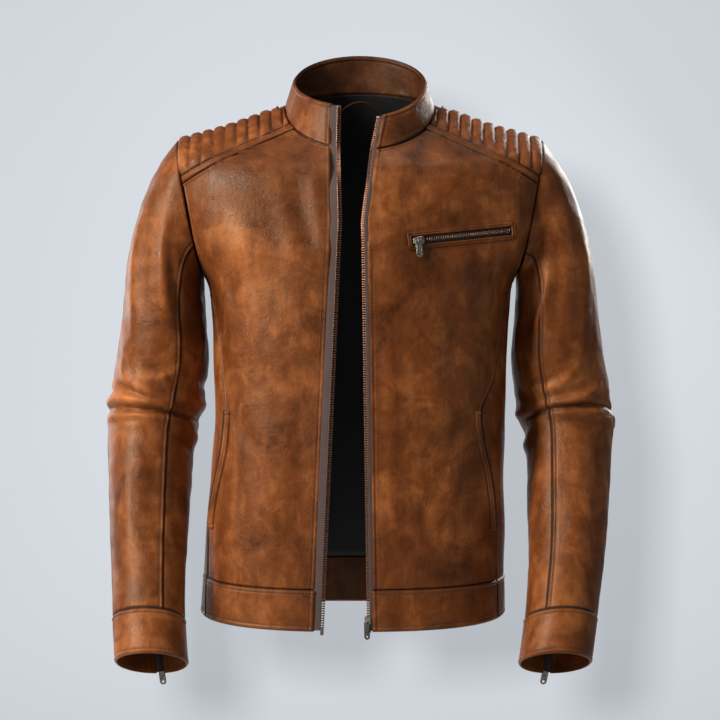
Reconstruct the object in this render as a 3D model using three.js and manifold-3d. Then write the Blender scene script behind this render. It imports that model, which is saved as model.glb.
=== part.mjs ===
// Leather riding jacket with a stand collar, quilted shoulders and an open front zip, hanging from
// the loop inside its back neck. Millimetres, +Z up. The fronts face -Y and the wearer's left is +X.
// The origin is the point where the hanger loop rests on its hook.
import * as THREE from "three";
import { mergeVertices } from "three/addons/utils/BufferGeometryUtils.js";
import Module from "manifold-3d";

const wasm = await Module();
wasm.setup();

// ---- sheet thicknesses and clearances ----
const LEATHER = 2.2; // outer leather with its seam turnings
const FACING = 2.0; // inner leather leaf at the front edges
const LINING = 0.8;
const GAP = 0.4; // between pieces that are sewn to each other
const ARM_GAP = 0.6; // each side of the armhole seam
const PROUD = 0.8; // hem bands and cuffs are doubled, so they stand this much proud

// ---- overall sizes ----
const HEM_Z = -655; // hem at the side seam
const HEM_BAND = 47; // height of the hem band at the side seam
const NECK_Z = -20; // neck seam where it crosses the shoulder ridge
const CHEST_HALF = 193; // half width just below the armholes
const SHOULDER_X = 231; // shoulder point
const SHOULDER_Z = -66;
const ARMPIT_X = 196;
const ARMPIT_Z = -242;
const NECK_HALF = 95;
const COLLAR_TOP_BACK = 57; // height of the collar's back top edge
const COLLAR_TOP_SIDE = 14;

// ---- torso sections, from the hem to the neck seam ----
// h: height of the section at the side; half: half width; front, back: depth each way from the
// shoulder ridge; dip, rise: how far the section drops at the front and climbs at the back;
// square: 2 is an ellipse, more is squarer; shift: sideways lean of the hanging hem
const TORSO = [
  { h: HEM_Z, half: 191, front: 116, back: 112, dip: 10, rise: -7, square: 2.5, shift: -9 },
  { h: -530, half: 187, front: 118.8, back: 108, dip: 4, rise: -3, square: 2.5, shift: -5 },
  { h: -398, half: 183, front: 121.7, back: 107, dip: 0, rise: 0, square: 2.5, shift: 0 },
  { h: -272, half: CHEST_HALF - 4, front: 124.4, back: 116, dip: 0, rise: 0, square: 2.5, shift: 0 },
  { h: -243, half: CHEST_HALF, front: 125.2, back: 118, dip: 0, rise: 0, square: 2.4, shift: 0 },
  { h: -200, half: CHEST_HALF + 22, front: 126, back: 120, dip: 0, rise: 0, square: 2.4, shift: 0 },
  { h: -130, half: CHEST_HALF + 48, front: 117, back: 118, dip: 12, rise: 5, square: 2.3, shift: 0 },
  { h: SHOULDER_Z, half: SHOULDER_X + 7, front: 107, back: 104, dip: 42, rise: 8, square: 2.1, shift: 0 },
  { h: -43, half: 165, front: 100, back: 91, dip: 54, rise: 22, square: 2, shift: 0 },
  { h: NECK_Z, half: NECK_HALF, front: 92, back: 72, dip: 65, rise: 30, square: 2, shift: 0 },
];

// ---- sleeve sections, from the armhole to the cuff, for the wearer's left sleeve ----
// ox, oz and ix, iz: outer and inner edge seen from the front; y: depth of the middle;
// lean: forward tilt of the section in degrees; deep: half depth; swing: what the two sides differ by
const SLEEVE = [
  { ox: SHOULDER_X, oz: SHOULDER_Z, ix: ARMPIT_X, iz: ARMPIT_Z, y: 1, lean: 0, deep: 60, swing: 0 },
  { ox: 254, oz: -95, ix: 199, iz: -247, y: 1, lean: 0, deep: 62, swing: 0 },
  { ox: 272, oz: -132, ix: 199.5, iz: -253, y: 2, lean: 0, deep: 65, swing: 0 },
  { ox: 285, oz: -172, ix: 199, iz: -260, y: 3, lean: 0, deep: 67, swing: 0 },
  { ox: 294, oz: -216, ix: 198, iz: -271, y: 4, lean: 0, deep: 68, swing: 0 },
  { ox: 300, oz: -268, ix: 196.5, iz: -292, y: 6, lean: 1, deep: 68, swing: 0 },
  { ox: 310, oz: -340, ix: 193, iz: -340, y: 9, lean: 4, deep: 66, swing: 0 },
  { ox: 320, oz: -400, ix: 201, iz: -402, y: 10, lean: 11, deep: 63, swing: 0 },
  { ox: 320, oz: -445, ix: 210, iz: -443, y: 2, lean: 20, deep: 59, swing: 0 },
  { ox: 313, oz: -512, ix: 212, iz: -512, y: -24, lean: 26, deep: 54, swing: 1 },
  { ox: 303, oz: -583, ix: 211, iz: -583, y: -59, lean: 27, deep: 49, swing: 3 },
  { ox: 292.5, oz: -653, ix: 205.5, iz: -653, y: -94, lean: 27, deep: 45, swing: 6 },
  { ox: 284, oz: -702, ix: 198, iz: -702, y: -118, lean: 27, deep: 44, swing: 8 },
];
const CUFF_SEAM = 11; // section of SLEEVE where the cuff is sewn on
const FRONT_SEAM = 120; // degrees round the sleeve from its outer edge, by the front
const BACK_SEAM = 262;

// ---- front edges: x, z from the hem to the neck seam, then the collar's top corner ----
const EDGE = {
  left: { foot: [15.5, HEM_Z - 10], bend: [8.5, -173], neck: [19.5, -86], top: [28, -44] },
  right: { foot: [-56, HEM_Z - 10], bend: [-34, -173], neck: [-36.5, -86], top: [-35.5, -31] },
};

// ---- seams seen from the front, x and z: armhole, waist, hand pocket, hem ----
const SIDE_SEAM = {
  left: [[197.4, -235], [182, -262], [175, -305], [164, -365], [147, -402], [152, -445], [161, -482],
    [167, -549], [170, HEM_Z - 45]],
  right: [[197.4, -235], [189, -262], [182, -292], [173, -340], [167, -397], [169, -440], [182, -500],
    [189, -550], [191, HEM_Z - 45]],
};
const BACK_SEAM_X = 166;
const YOKE = { x: 80, z: -52, fall: 0.503, strip: 10 }; // lower edge of the strip under the quilting
const YOKE_BACK = { x: 80, z: -12, fall: 0.676 }; // back edge of the quilting
const BACK_YOKE_Z = -160;
const BEHIND_RIDGE = 8; // the back yoke starts this far behind the shoulder ridge

// ---- zips ----
const CHAIN = { wide: 4.6, deep: 2.6 }; // one row of teeth with its cord
const TAPE = { thick: 0.9, left: 3.4, right: 7.8, turnLeft: 37, turnRight: -8 };
const SLIDER = { wide: 9.4, tall: 14, play: 0.35, wall: 1.1 };
const CROWN = { wide: 2, reach: 2.9, loop: 3.4, bar: 1 }; // the slider's eye that holds the pull tab
const TAB = { wide: 8, long: 20, thick: 1.3, window: 3.2, pin: 1.1 };
const MAIN_TRAVEL_TOP = -196; // the track is straight up to here
const SLOT = SLIDER.wide + 1.6; // width of the cuff vents and of the chest pocket's opening
const CHEST = {
  x0: CHEST_HALF - 131, // inner and outer end of the chest zip
  z0: -198,
  x1: CHEST_HALF - 9,
  z1: -183,
  y: [-119.5, -88],
  wide: SLOT,
  rim: 5, // width of the leather frame round the opening
};

const group = new THREE.Group();
const FINISH = {
  leather: [0x7a4322, 0.42, 0],
  inside: [0x2c1a12, 0.6, 0],
  lining: [0x120d0b, 0.85, 0],
  tape: [0x3b2620, 0.9, 0],
  teeth: [0x8c5f43, 0.35, 1],
  metal: [0x8b8478, 0.35, 1],
};

// A named mesh in the jacket, from a solid or a geometry.
function part(name, shape, finish) {
  const [color, roughness, metalness] = FINISH[finish];
  const geometry = shape.isBufferGeometry ? shape : geometryOf(shape);
  const mesh = new THREE.Mesh(
    geometry,
    new THREE.MeshStandardMaterial({ color, roughness, metalness }),
  );
  mesh.name = name;
  group.add(mesh);
  return mesh;
}

function solidOf(geometry) {
  const bare = geometry.clone();
  bare.deleteAttribute("normal");
  bare.deleteAttribute("uv");
  const merged = mergeVertices(bare, 1e-4);
  return new wasm.Manifold(
    new wasm.Mesh({
      numProp: 3,
      vertProperties: merged.attributes.position.array,
      triVerts: new Uint32Array(merged.index.array),
    }),
  );
}

function geometryOf(solid) {
  const { vertProperties, triVerts, numProp, numVert } = solid.getMesh();
  const xyz = new Float32Array(numVert * 3);
  for (let i = 0; i < numVert; i++) {
    xyz.set(vertProperties.subarray(i * numProp, i * numProp + 3), i * 3);
  }
  const geometry = new THREE.BufferGeometry();
  geometry.setAttribute("position", new THREE.BufferAttribute(xyz, 3));
  return geometry.setIndex(new THREE.BufferAttribute(triVerts, 1));
}

// A smooth value between the sections of a table; by is the field that orders them.
function between(table, field, at, by) {
  const last = table.length - 1;
  let i = 1;
  while (i < last && at > table[i][by]) i++;
  const a = table[Math.max(i - 2, 0)];
  const b = table[i - 1];
  const c = table[i];
  const d = table[Math.min(i + 1, last)];
  const span = c[by] - b[by];
  const t = (at - b[by]) / span;
  const slopeB = ((c[field] - a[field]) / (c[by] - a[by])) * span;
  const slopeC = ((d[field] - b[field]) / (d[by] - b[by])) * span;
  const tt = t * t;
  const ttt = tt * t;
  return (
    (2 * ttt - 3 * tt + 1) * b[field] +
    (ttt - 2 * tt + t) * slopeB +
    (3 * tt - 2 * ttt) * c[field] +
    (ttt - tt) * slopeC
  );
}

const radians = THREE.MathUtils.degToRad;
const smooth = (t) => THREE.MathUtils.smoothstep(t, 0, 1);

// The torso's surface: angle in degrees from the wearer's left side (0) by the front (90).
function torso(angle, h) {
  const k = (field) => between(TORSO, field, h, "h");
  const c = Math.cos(radians(angle));
  const s = Math.sin(radians(angle));
  const power = 2 / k("square");
  const x = k("half") * Math.sign(c) * Math.abs(c) ** power;
  const round = Math.abs(s) ** power;
  const y = s > 0 ? -k("front") * round : k("back") * round;
  const z = h + (s > 0 ? -k("dip") : k("rise")) * Math.abs(s);
  return pocketFlat(new THREE.Vector3(x + k("shift"), y, z));
}

// The chest zip holds the leather straight, so the surface runs flat beside it.
function pocketFlat(p) {
  const t = (p.x - CHEST.x0) / (CHEST.x1 - CHEST.x0);
  const off = Math.abs(p.z - THREE.MathUtils.lerp(CHEST.z0, CHEST.z1, t));
  if (p.y > 0 || t < -0.35 || t > 1.25) return p;
  const endways = smooth((t + 0.35) / 0.3) * smooth((1.25 - t) / 0.2);
  const weight = endways * (1 - smooth((off - 14) / 40));
  p.y = THREE.MathUtils.lerp(p.y, THREE.MathUtils.lerp(...CHEST.y, t), weight);
  return p;
}

// A sleeve's surface: angle in degrees from its outer edge (0) by the front (90); s counts sections.
const SLEEVE_STEPS = SLEEVE.map((section, s) => ({ ...section, s }));
function sleeve(side, angle, s) {
  const k = (field) => between(SLEEVE_STEPS, field, s, "s");
  const outer = new THREE.Vector3(k("ox"), k("y"), k("oz"));
  const inner = new THREE.Vector3(k("ix"), k("y"), k("iz"));
  const middle = outer.clone().add(inner).multiplyScalar(0.5);
  const lean = radians(k("lean"));
  const back = new THREE.Vector3(0, Math.cos(lean), -Math.sin(lean)).multiplyScalar(k("deep"));
  const p = middle
    .clone()
    .addScaledVector(outer.sub(middle), Math.cos(radians(angle)))
    .addScaledVector(back, -Math.sin(radians(angle)));
  p.x -= side * k("swing");
  p.x *= side;
  return p;
}

// A closed sheet between two offsets from a surface. surface(u, v) gives its points; wrap closes it
// round u; outward is the side on which cross(v step, u step) points away from the body.
function sheet(surface, us, vs, wrap, from, to, outward = 1) {
  const m = vs.length;
  const n = us.length;
  const du = Math.abs(us[1] - us[0]) * 0.1;
  const dv = Math.abs(vs[1] - vs[0]) * 0.05;
  const point = (u, v, offset) => {
    const up = surface(u, v + dv).sub(surface(u, v - dv));
    const along = surface(u + du, v).sub(surface(u - du, v));
    return surface(u, v).addScaledVector(up.cross(along).normalize(), offset * outward);
  };
  const xyz = [];
  for (const offset of [from, to]) {
    for (const v of vs) us.forEach((u) => xyz.push(...point(u, v, offset)));
  }
  const index = [];
  const quad = (a, b, c, d) => index.push(a, b, c, a, c, d);
  const at = (layer, j, i) => layer * m * n + j * n + (i % n);
  const columns = wrap ? n : n - 1;
  for (let i = 0; i < columns; i++) {
    for (let j = 0; j < m - 1; j++) {
      quad(at(1, j, i), at(1, j + 1, i), at(1, j + 1, i + 1), at(1, j, i + 1));
      quad(at(0, j, i), at(0, j, i + 1), at(0, j + 1, i + 1), at(0, j + 1, i));
    }
    quad(at(0, 0, i), at(1, 0, i), at(1, 0, i + 1), at(0, 0, i + 1));
    quad(at(0, m - 1, i), at(0, m - 1, i + 1), at(1, m - 1, i + 1), at(1, m - 1, i));
  }
  for (let j = 0; j < m - 1 && !wrap; j++) {
    quad(at(0, j, 0), at(0, j + 1, 0), at(1, j + 1, 0), at(1, j, 0));
    quad(at(0, j, n - 1), at(1, j, n - 1), at(1, j + 1, n - 1), at(0, j + 1, n - 1));
  }
  if (outward < 0) index.reverse();
  const geometry = new THREE.BufferGeometry();
  geometry.setAttribute("position", new THREE.Float32BufferAttribute(xyz, 3));
  return solidOf(geometry.setIndex(index));
}

const steps = (from, to, count) =>
  Array.from({ length: count + 1 }, (_, i) => THREE.MathUtils.lerp(from, to, i / count));

// A wall of the torso all round, between two heights and two offsets. Every wall uses the same
// columns and rows, so that walls that lie on each other stay parallel.
const COLUMNS = 36;
const ROWS = [-500, -400, -330, -270, -240, -212, -190, -168, -130, -94, SHOULDER_Z, -42];
function torsoWall(h0, h1, from, to) {
  const angles = steps(0, 360, COLUMNS).slice(0, -1);
  const heights = [h0, ...ROWS.filter((h) => h > h0 + 6 && h < h1 - 6), h1];
  return sheet(torso, angles, heights, true, from, to);
}

// A column with the given outline, seen from the front, between two depths.
function column(outline, y0, y1) {
  const shape = new THREE.Shape(outline.map(([x, z]) => new THREE.Vector2(x, z)));
  const geometry = new THREE.ExtrudeGeometry(shape, { depth: y1 - y0, bevelEnabled: false });
  return solidOf(geometry.rotateX(Math.PI / 2).translate(0, y1, 0));
}
const FAR = 260; // past the torso every way
const front = (outline) => column(outline, -FAR, 0);
const back = (outline) => column(outline, 0, FAR);
const mirror = (outline, side) => outline.map(([x, z]) => [side * x, z]);

const ARM_SLOPE = (SHOULDER_X - ARMPIT_X) / (SHOULDER_Z - ARMPIT_Z);
const armX = (z, off = 0) => ARMPIT_X + (z - ARMPIT_Z) * ARM_SLOPE - off;
// where a falling line z = line.z - (x - line.x) * line.fall + lift meets the armhole
function meetArm(line, lift) {
  const z = (line.z + lift - (armX(0) - line.x) * line.fall) / (1 + ARM_SLOPE * line.fall);
  return [armX(z, ARM_GAP), z];
}
const onLine = (line, x, lift = 0) => [x, line.z - (x - line.x) * line.fall + lift];

// ---- body leather ----
const BAND_Z = HEM_Z + HEM_BAND;
const TOP = 90; // above the whole body
const LOW = HEM_Z - 65; // below the whole body
const body = torsoWall(BAND_Z + GAP, NECK_Z, -LEATHER, 0);
const hem = torsoWall(HEM_Z, BAND_Z, -LEATHER, PROUD);
const SIDES = [["left", 1], ["right", -1]];
const half = GAP / 2;

// The armhole plane's line, from the armpit to above the shoulder, on the body's side of the seam.
const armLine = (side, off = ARM_GAP) =>
  mirror([[armX(ARMPIT_Z, off), ARMPIT_Z], [armX(TOP, off), TOP]], side);
const edgeLine = (word, by = 0) => {
  const { foot, bend, neck, top } = EDGE[word];
  const below = [foot[0] + (foot[0] - bend[0]) * 0.1, foot[1] * 1.1 - bend[1] * 0.1];
  return [below, bend, neck, top].map(([x, z]) => [x + by, z]);
};

const frontPanels = {};
for (const [word, side] of SIDES) {
  const seam = (by) => SIDE_SEAM[word].map(([x, z]) => [side * (x + by), z]);
  const armTop = mirror([[armX(SIDE_SEAM[word][0][1], ARM_GAP), SIDE_SEAM[word][0][1]]], side);
  const frontOutline = [
    ...edgeLine(word),
    ...mirror([onLine(YOKE, 30, -half), meetArm(YOKE, -half)], side),
    ...armTop,
    ...seam(-half).slice(1),
  ];
  frontPanels[word] = body.intersect(front(frontOutline));
  part(`hem_band_${word}`, hem.intersect(front(frontOutline)), "leather");

  const backSeam = (by) => mirror([[BACK_SEAM_X + by, ARMPIT_Z - 18], [BACK_SEAM_X + by, LOW]], side);
  const past = mirror([[FAR, LOW], [FAR, ARMPIT_Z - 1], [ARMPIT_X - 1, ARMPIT_Z - 1]], side);
  const peak = mirror([[armX(ARMPIT_Z + 6, ARM_GAP), ARMPIT_Z + 6]], side);
  const sideFront = [...seam(half).slice(1).reverse(), ...peak];
  const sideBack = [...backSeam(half).reverse(), ...peak];
  const flank = (outline, y0, y1) => column([...outline, ...past.toReversed()], y0, y1);
  part(
    `side_panel_${word}`,
    body.intersect(flank(sideFront, -FAR, 0.2).add(flank(sideBack, 0, FAR))),
    "leather",
  );

  const shoulder = (line, lift) => [
    ...mirror([onLine(line, 20, lift), meetArm(line, lift)], side),
    armLine(side)[1],
    ...mirror([[20, TOP]], side),
  ];
  const quilt = column(shoulder(YOKE, YOKE.strip + half), -FAR, 0.2).add(
    column(shoulder(YOKE_BACK, half), 0, FAR),
  );
  part(`quilted_shoulder_${word}`, body.intersect(quilt), "leather");
  const strip = [
    ...mirror([onLine(YOKE, 30, half), meetArm(YOKE, half)], side),
    ...mirror([onLine(YOKE, 30, YOKE.strip - half), meetArm(YOKE, YOKE.strip - half)], side).reverse(),
  ];
  part(`shoulder_strip_${word}`, body.intersect(front(strip)), "leather");
}

const bothSides = (outline) => [...outline, ...mirror(outline, -1).toReversed()];
part(
  "back_panel",
  body.intersect(
    back(bothSides([
      [BACK_SEAM_X - half, LOW],
      [BACK_SEAM_X - half, ARMPIT_Z - 18],
      [armX(ARMPIT_Z + 6, ARM_GAP), ARMPIT_Z + 6],
      [armX(BACK_YOKE_Z, ARM_GAP), BACK_YOKE_Z - half],
    ])),
  ),
  "leather",
);
part(
  "back_yoke",
  body.intersect(
    column(bothSides([
      [armX(BACK_YOKE_Z, ARM_GAP), BACK_YOKE_Z + half],
      meetArm(YOKE_BACK, -half),
      onLine(YOKE_BACK, 20, -half),
    ]), BEHIND_RIDGE, FAR),
  ),
  "leather",
);
const backHem = bothSides([[FAR, LOW], [FAR, TOP]]);
const sideHem = (word, side) =>
  front([...SIDE_SEAM[word].slice(-4).map(([x, z]) => [side * (x + half), z]),
    ...mirror([[FAR, LOW], [FAR, -400]], side)]);
part(
  "hem_band_back",
  hem.intersect(column(backHem, -0.2, FAR).add(sideHem("left", 1)).add(sideHem("right", -1))),
  "leather",
);

// ---- inner leaves: leather facings at the front edges and the hem, lining everywhere else ----
const FACING_WIDE = 48;
const FACING_BACK = 4; // the facing starts this far behind the leather edge, clear of the slider
const INNER = LEATHER + GAP;
const BAG = 0.8;
const facingWall = torsoWall(HEM_Z + 2, NECK_Z - 4, -INNER - FACING, -INNER);
const hemFacing = torsoWall(HEM_Z + 2, BAND_Z + 10, -INNER - FACING, -INNER);
const liningDepth = INNER + BAG + GAP;
const lining = torsoWall(BAND_Z + 12, NECK_Z - 4, -liningDepth - LINING, -liningDepth);
for (const [word, side] of SIDES) {
  const near = edgeLine(word, side * FACING_BACK);
  const far = edgeLine(word, side * FACING_WIDE);
  part(`front_facing_${word}`, facingWall.intersect(front([...near, ...far.reverse()])), "inside");
  const begin = edgeLine(word, side * (FACING_WIDE + GAP));
  const inward = [begin.at(-1)[0], TOP];
  part(
    `body_lining_${word}`,
    lining.intersect(
      front([
        ...begin,
        inward,
        ...armLine(side, 4).toReversed(),
        ...mirror([[FAR, ARMPIT_Z], [FAR, LOW]], side),
      ]),
    ),
    "lining",
  );
}
part(
  "body_lining_back",
  lining.intersect(
    column(bothSides([[FAR, LOW], [FAR, ARMPIT_Z], [armX(ARMPIT_Z, 4), ARMPIT_Z], [armX(TOP, 4), TOP]]), GAP, FAR),
  ),
  "lining",
);
const facingGap = (word, side) => [
  ...edgeLine(word, side * (FACING_WIDE + GAP)).slice(0, 2),
  ...mirror([[FAR, EDGE[word].bend[1]], [FAR, LOW]], side),
];
part(
  "hem_facing",
  hemFacing.intersect(
    column(backHem, -0.2, FAR)
      .add(front(facingGap("left", 1)))
      .add(front(facingGap("right", -1))),
  ),
  "inside",
);

// ---- stand collar: an outer and an inner leaf on the neck seam ----
const COLLAR = { half: 84, front: 84, back: 61, leaf: 1.7, lift: 0.02, inset: 0.005 };
const cornerAngle = (x, reach) => THREE.MathUtils.radToDeg(Math.acos(x / reach));
const turnsBack = (angle) => angle - 360; // the right corner is reached by the back of the neck
const COLLAR_ENDS = {
  base: [cornerAngle(EDGE.left.neck[0], NECK_HALF), turnsBack(cornerAngle(EDGE.right.neck[0], NECK_HALF))],
  top: [cornerAngle(EDGE.left.top[0], COLLAR.half), turnsBack(cornerAngle(EDGE.right.top[0], COLLAR.half))],
};
function collarTop(angle) {
  const c = Math.cos(radians(angle));
  const s = Math.sin(radians(angle));
  const frontDrop = COLLAR_TOP_SIDE - (c > 0 ? EDGE.left.top[1] : EDGE.right.top[1]);
  const z = s > 0 ? -frontDrop * s : -(COLLAR_TOP_BACK - COLLAR_TOP_SIDE) * s;
  const y = -s * (s > 0 ? COLLAR.front : COLLAR.back);
  return new THREE.Vector3(COLLAR.half * c, y, COLLAR_TOP_SIDE + z);
}
// t runs from the wearer's left front corner round the back to the right one; v from base to top.
function collar(t, v) {
  const low = torso(THREE.MathUtils.lerp(...COLLAR_ENDS.base, t), NECK_Z);
  const high = collarTop(THREE.MathUtils.lerp(...COLLAR_ENDS.top, t));
  return low.lerp(high, v);
}
const collarLeaf = (from, to) =>
  sheet(collar, steps(COLLAR.inset, 1 - COLLAR.inset, 22), steps(COLLAR.lift, 1, 2), false, from, to, -1);
part("collar_outer", collarLeaf(-COLLAR.leaf, 0), "leather");
part("collar_inner", collarLeaf(-2 * COLLAR.leaf - GAP, -COLLAR.leaf - GAP), "leather");

// A band of rectangular section along points: across is the width direction, w0 to w1 along it,
// e0 to e1 outwards.
function band(points, across, w0, w1, e0, e1) {
  const corners = points.map((p, i) => {
    const before = points[Math.max(i - 1, 0)];
    const after = points[Math.min(i + 1, points.length - 1)];
    const outward = across.clone().cross(after.clone().sub(before)).normalize();
    if (outward.y > 0) outward.negate();
    const corner = (w, e) => p.clone().addScaledVector(across, w).addScaledVector(outward, e);
    return [corner(w0, e0), corner(w1, e0), corner(w1, e1), corner(w0, e1)];
  });
  const xyz = corners.flat().flatMap((p) => p.toArray());
  const index = [];
  for (let i = 0; i < points.length - 1; i++) {
    for (let k = 0; k < 4; k++) {
      const [a, b] = [i * 4 + k, i * 4 + ((k + 1) % 4)];
      index.push(a, b, b + 4, a, b + 4, a + 4);
    }
  }
  const end = (points.length - 1) * 4;
  index.push(0, 2, 1, 0, 3, 2, end, end + 1, end + 2, end, end + 2, end + 3);
  const geometry = new THREE.BufferGeometry();
  geometry.setAttribute("position", new THREE.Float32BufferAttribute(xyz, 3));
  const insideOut = solidOf(geometry.setIndex(index)).volume() < 0;
  if (insideOut) index.reverse();
  return solidOf(geometry.setIndex(index));
}

// ---- hanger loop: a narrow strip across the inside of the back neck, lifted by its hook ----
const LOOP = { half: 26, endY: 62, endZ: -16, y: 54, z: -5, wide: 7, thick: 1.4 };
const loopPoints = steps(-1, 1, 8).map((t) => {
  const drop = t * t;
  return new THREE.Vector3(
    t * LOOP.half,
    THREE.MathUtils.lerp(LOOP.y, LOOP.endY, drop),
    THREE.MathUtils.lerp(LOOP.z + LOOP.thick / 2, LOOP.endZ, drop),
  );
});
part(
  "hanger_loop",
  band(loopPoints, new THREE.Vector3(0, 1, 0), -LOOP.wide / 2, LOOP.wide / 2, -LOOP.thick / 2, LOOP.thick / 2),
  "inside",
);

// ---- zips ----
// Every zip is made in its own frame: Z along the travel, -Y outwards, the teeth centred on Y = 0.
function block(x0, x1, e0, e1, z0, z1) {
  const geometry = new THREE.BoxGeometry(x1 - x0, e1 - e0, z1 - z0);
  return solidOf(geometry.translate((x0 + x1) / 2, -(e0 + e1) / 2, (z0 + z1) / 2));
}
const top = CHAIN.deep / 2 + SLIDER.play; // underside of the slider's front plate
const face = top + SLIDER.wall;
const CROWN_Z = SLIDER.tall * 0.42;
const PIN_E = face + (CROWN.reach - CROWN.bar) / 2;

// The slider: a front plate with flanges beside the teeth and the crown on top. tapeSide 0 rides on
// closed teeth; 1 or -1 wraps one open row whose tape leaves on that side.
function sliderBody(tapeSide, turn = 0) {
  const w = SLIDER.wide / 2;
  const inner = CHAIN.wide / 2 + SLIDER.play;
  let made = block(-w, w, top, face, 0, SLIDER.tall);
  const sides = [-1, 1];
  for (const s of sides) {
    const low = tapeSide === 0 ? -CHAIN.deep / 2 + 0.2 : -face;
    const open = s === tapeSide;
    const [x0, x1] = [s * inner, s * w].sort((a, b) => a - b);
    made = made.add(block(x0, x1, open ? TAPE.thick / 2 + 0.4 : low, top + 0.1, 0, SLIDER.tall));
  }
  if (tapeSide !== 0) made = made.add(block(-w, w, -face, -top, 0, SLIDER.tall));
  return made.add(turned(crownShape(), turn).translate(0, 0, CROWN_Z));
}
// The crown and the tab are made round the crown's middle and turned about the outward axis.
const turned = (shape, turn) => solidOf(geometryOf(shape).rotateY(radians(turn)));
function crownShape() {
  const { wide, reach, loop, bar } = CROWN;
  const arch = block(-wide / 2, wide / 2, face - 0.1, face + reach, -loop / 2 - bar, loop / 2 + bar);
  return arch.subtract(block(-FAR, FAR, face, face + reach - bar, -loop / 2, loop / 2));
}

// The pull tab hangs from a pin through the crown; it is turned outwards by hang degrees at rest.
function pullTab(hang, turn = 0) {
  const { wide, long, thick, window, pin } = TAB;
  const outline = new THREE.Shape();
  const end = -long + wide / 2;
  outline.moveTo(-wide / 2, pin / 2).lineTo(-wide / 2, end);
  outline.absarc(0, end, wide / 2, Math.PI, 2 * Math.PI, false);
  outline.lineTo(wide / 2, pin / 2).closePath();
  const hole = new THREE.Path();
  const side = window / 2;
  hole.moveTo(-side, -pin / 2).lineTo(-side, -pin / 2 - window - 0.4);
  hole.lineTo(side, -pin / 2 - window - 0.4).lineTo(side, -pin / 2).closePath();
  const eye = new THREE.Path().absarc(0, end - 0.4, 1.5, 0, 2 * Math.PI, true);
  outline.holes.push(hole, eye);
  const plate = new THREE.ExtrudeGeometry(outline, { depth: thick, bevelEnabled: false, curveSegments: 5 });
  plate.rotateX(Math.PI / 2).translate(0, thick / 2, 0);
  const shaved = solidOf(plate).subtract(
    block(-side, side, pin / 2, FAR, -pin, pin).add(block(-side, side, -FAR, -pin / 2, -pin, pin)),
  );
  const geometry = geometryOf(shaved).rotateX(-radians(hang)).rotateY(radians(turn));
  return geometry.translate(0, -PIN_E, CROWN_Z);
}

// The frame of a zip: its start, the way the slider travels and the way its teeth face.
function zipFrame(start, end, outward) {
  const along = end.clone().sub(start).normalize();
  const inward = outward.clone().addScaledVector(along, -outward.dot(along)).normalize().negate();
  const across = inward.clone().cross(along);
  return new THREE.Matrix4().makeBasis(across, inward, along).setPosition(start);
}
function placed(name, shape, frame, finish) {
  const mesh = part(name, shape, finish);
  mesh.applyMatrix4(frame);
}

// The point of the torso's front with this x and z.
function onFront(x, z) {
  let h = z;
  let angle = 90;
  for (let i = 0; i < 12; i++) {
    const k = (field) => between(TORSO, field, h, "h");
    const share = Math.min(Math.abs(x - k("shift")) / k("half"), 1) ** (k("square") / 2);
    angle = THREE.MathUtils.radToDeg(Math.acos(Math.sign(x - k("shift")) * share));
    h = Math.min(z + k("dip") * Math.sin(radians(angle)), NECK_Z);
  }
  return torso(angle, h);
}

// The line down the middle of a front edge's leather, straight as far as the slider travels.
function edgePath(word) {
  const { foot, bend } = EDGE[word];
  const at = (z) => THREE.MathUtils.lerp(foot[0], bend[0], (z - foot[1]) / (bend[1] - foot[1]));
  const low = onFront(at(foot[1] + 1), foot[1] + 1);
  const high = onFront(at(MAIN_TRAVEL_TOP), MAIN_TRAVEL_TOP);
  const bendPoint = onFront(...bend);
  const middle = onFront((bend[0] + EDGE[word].neck[0]) / 2, (bend[1] + EDGE[word].neck[1]) / 2);
  const t = word === "left" ? 0 : 1;
  const path = [low, high, bendPoint, middle, collar(t, 0), collar(t, 0.5), collar(t, 0.97)];
  path.forEach((p) => (p.y += LEATHER / 2));
  return path;
}

const toOpening = {
  left: new THREE.Vector3(-Math.cos(radians(TAPE.turnLeft)), Math.sin(radians(TAPE.turnLeft)), 0),
  right: new THREE.Vector3(Math.cos(radians(TAPE.turnRight)), -Math.sin(radians(TAPE.turnRight)), 0),
};
const CHAIN_FOOT = 3; // the teeth start this far above the tape's lower end
const teethAt = {};
for (const [word] of SIDES) {
  const path = edgePath(word);
  const across = toOpening[word];
  const wide = TAPE[word];
  part(`zip_tape_${word}`, band(path, across, GAP, wide, -TAPE.thick / 2, TAPE.thick / 2), "tape");
  const teeth = path.map((p) => p.clone());
  teeth[0].lerp(teeth[1], CHAIN_FOOT / teeth[0].distanceTo(teeth[1]));
  const w0 = wide + GAP;
  part(
    `zip_teeth_${word}`,
    band(teeth, across, w0, w0 + CHAIN.wide, -CHAIN.deep / 2, CHAIN.deep / 2),
    "teeth",
  );
  teethAt[word] = teeth.map((p) => p.clone().addScaledVector(across, w0 + CHAIN.wide / 2));
  const tip = teeth.at(-1);
  const stop = [tip.clone().lerp(teeth.at(-2), -0.02), tip.clone().lerp(teeth.at(-2), -0.14)];
  part(`top_stop_${word}`, band(stop, across, w0, w0 + CHAIN.wide, -1.4, 1.4), "metal");
}

const facing = (word) => {
  const n = toOpening[word].clone().cross(new THREE.Vector3(0, 0, 1)).normalize();
  return n.y > 0 ? n.negate() : n;
};
const mainFrame = zipFrame(teethAt.left[0], teethAt.left[1], facing("left"));
placed("main_slider", sliderBody(1), mainFrame, "metal");
placed("main_pull_tab", pullTab(0), mainFrame, "metal");
placed("retainer_box", block(-3.6, 1.9, -2.3, 2.3, -6.5, -GAP), mainFrame, "metal");
const pinFrame = zipFrame(teethAt.right[0], teethAt.right[1], facing("right"));
placed("insertion_pin", block(-2.2, 1.9, -1.5, 1.5, -9, -GAP), pinFrame, "metal");

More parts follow.
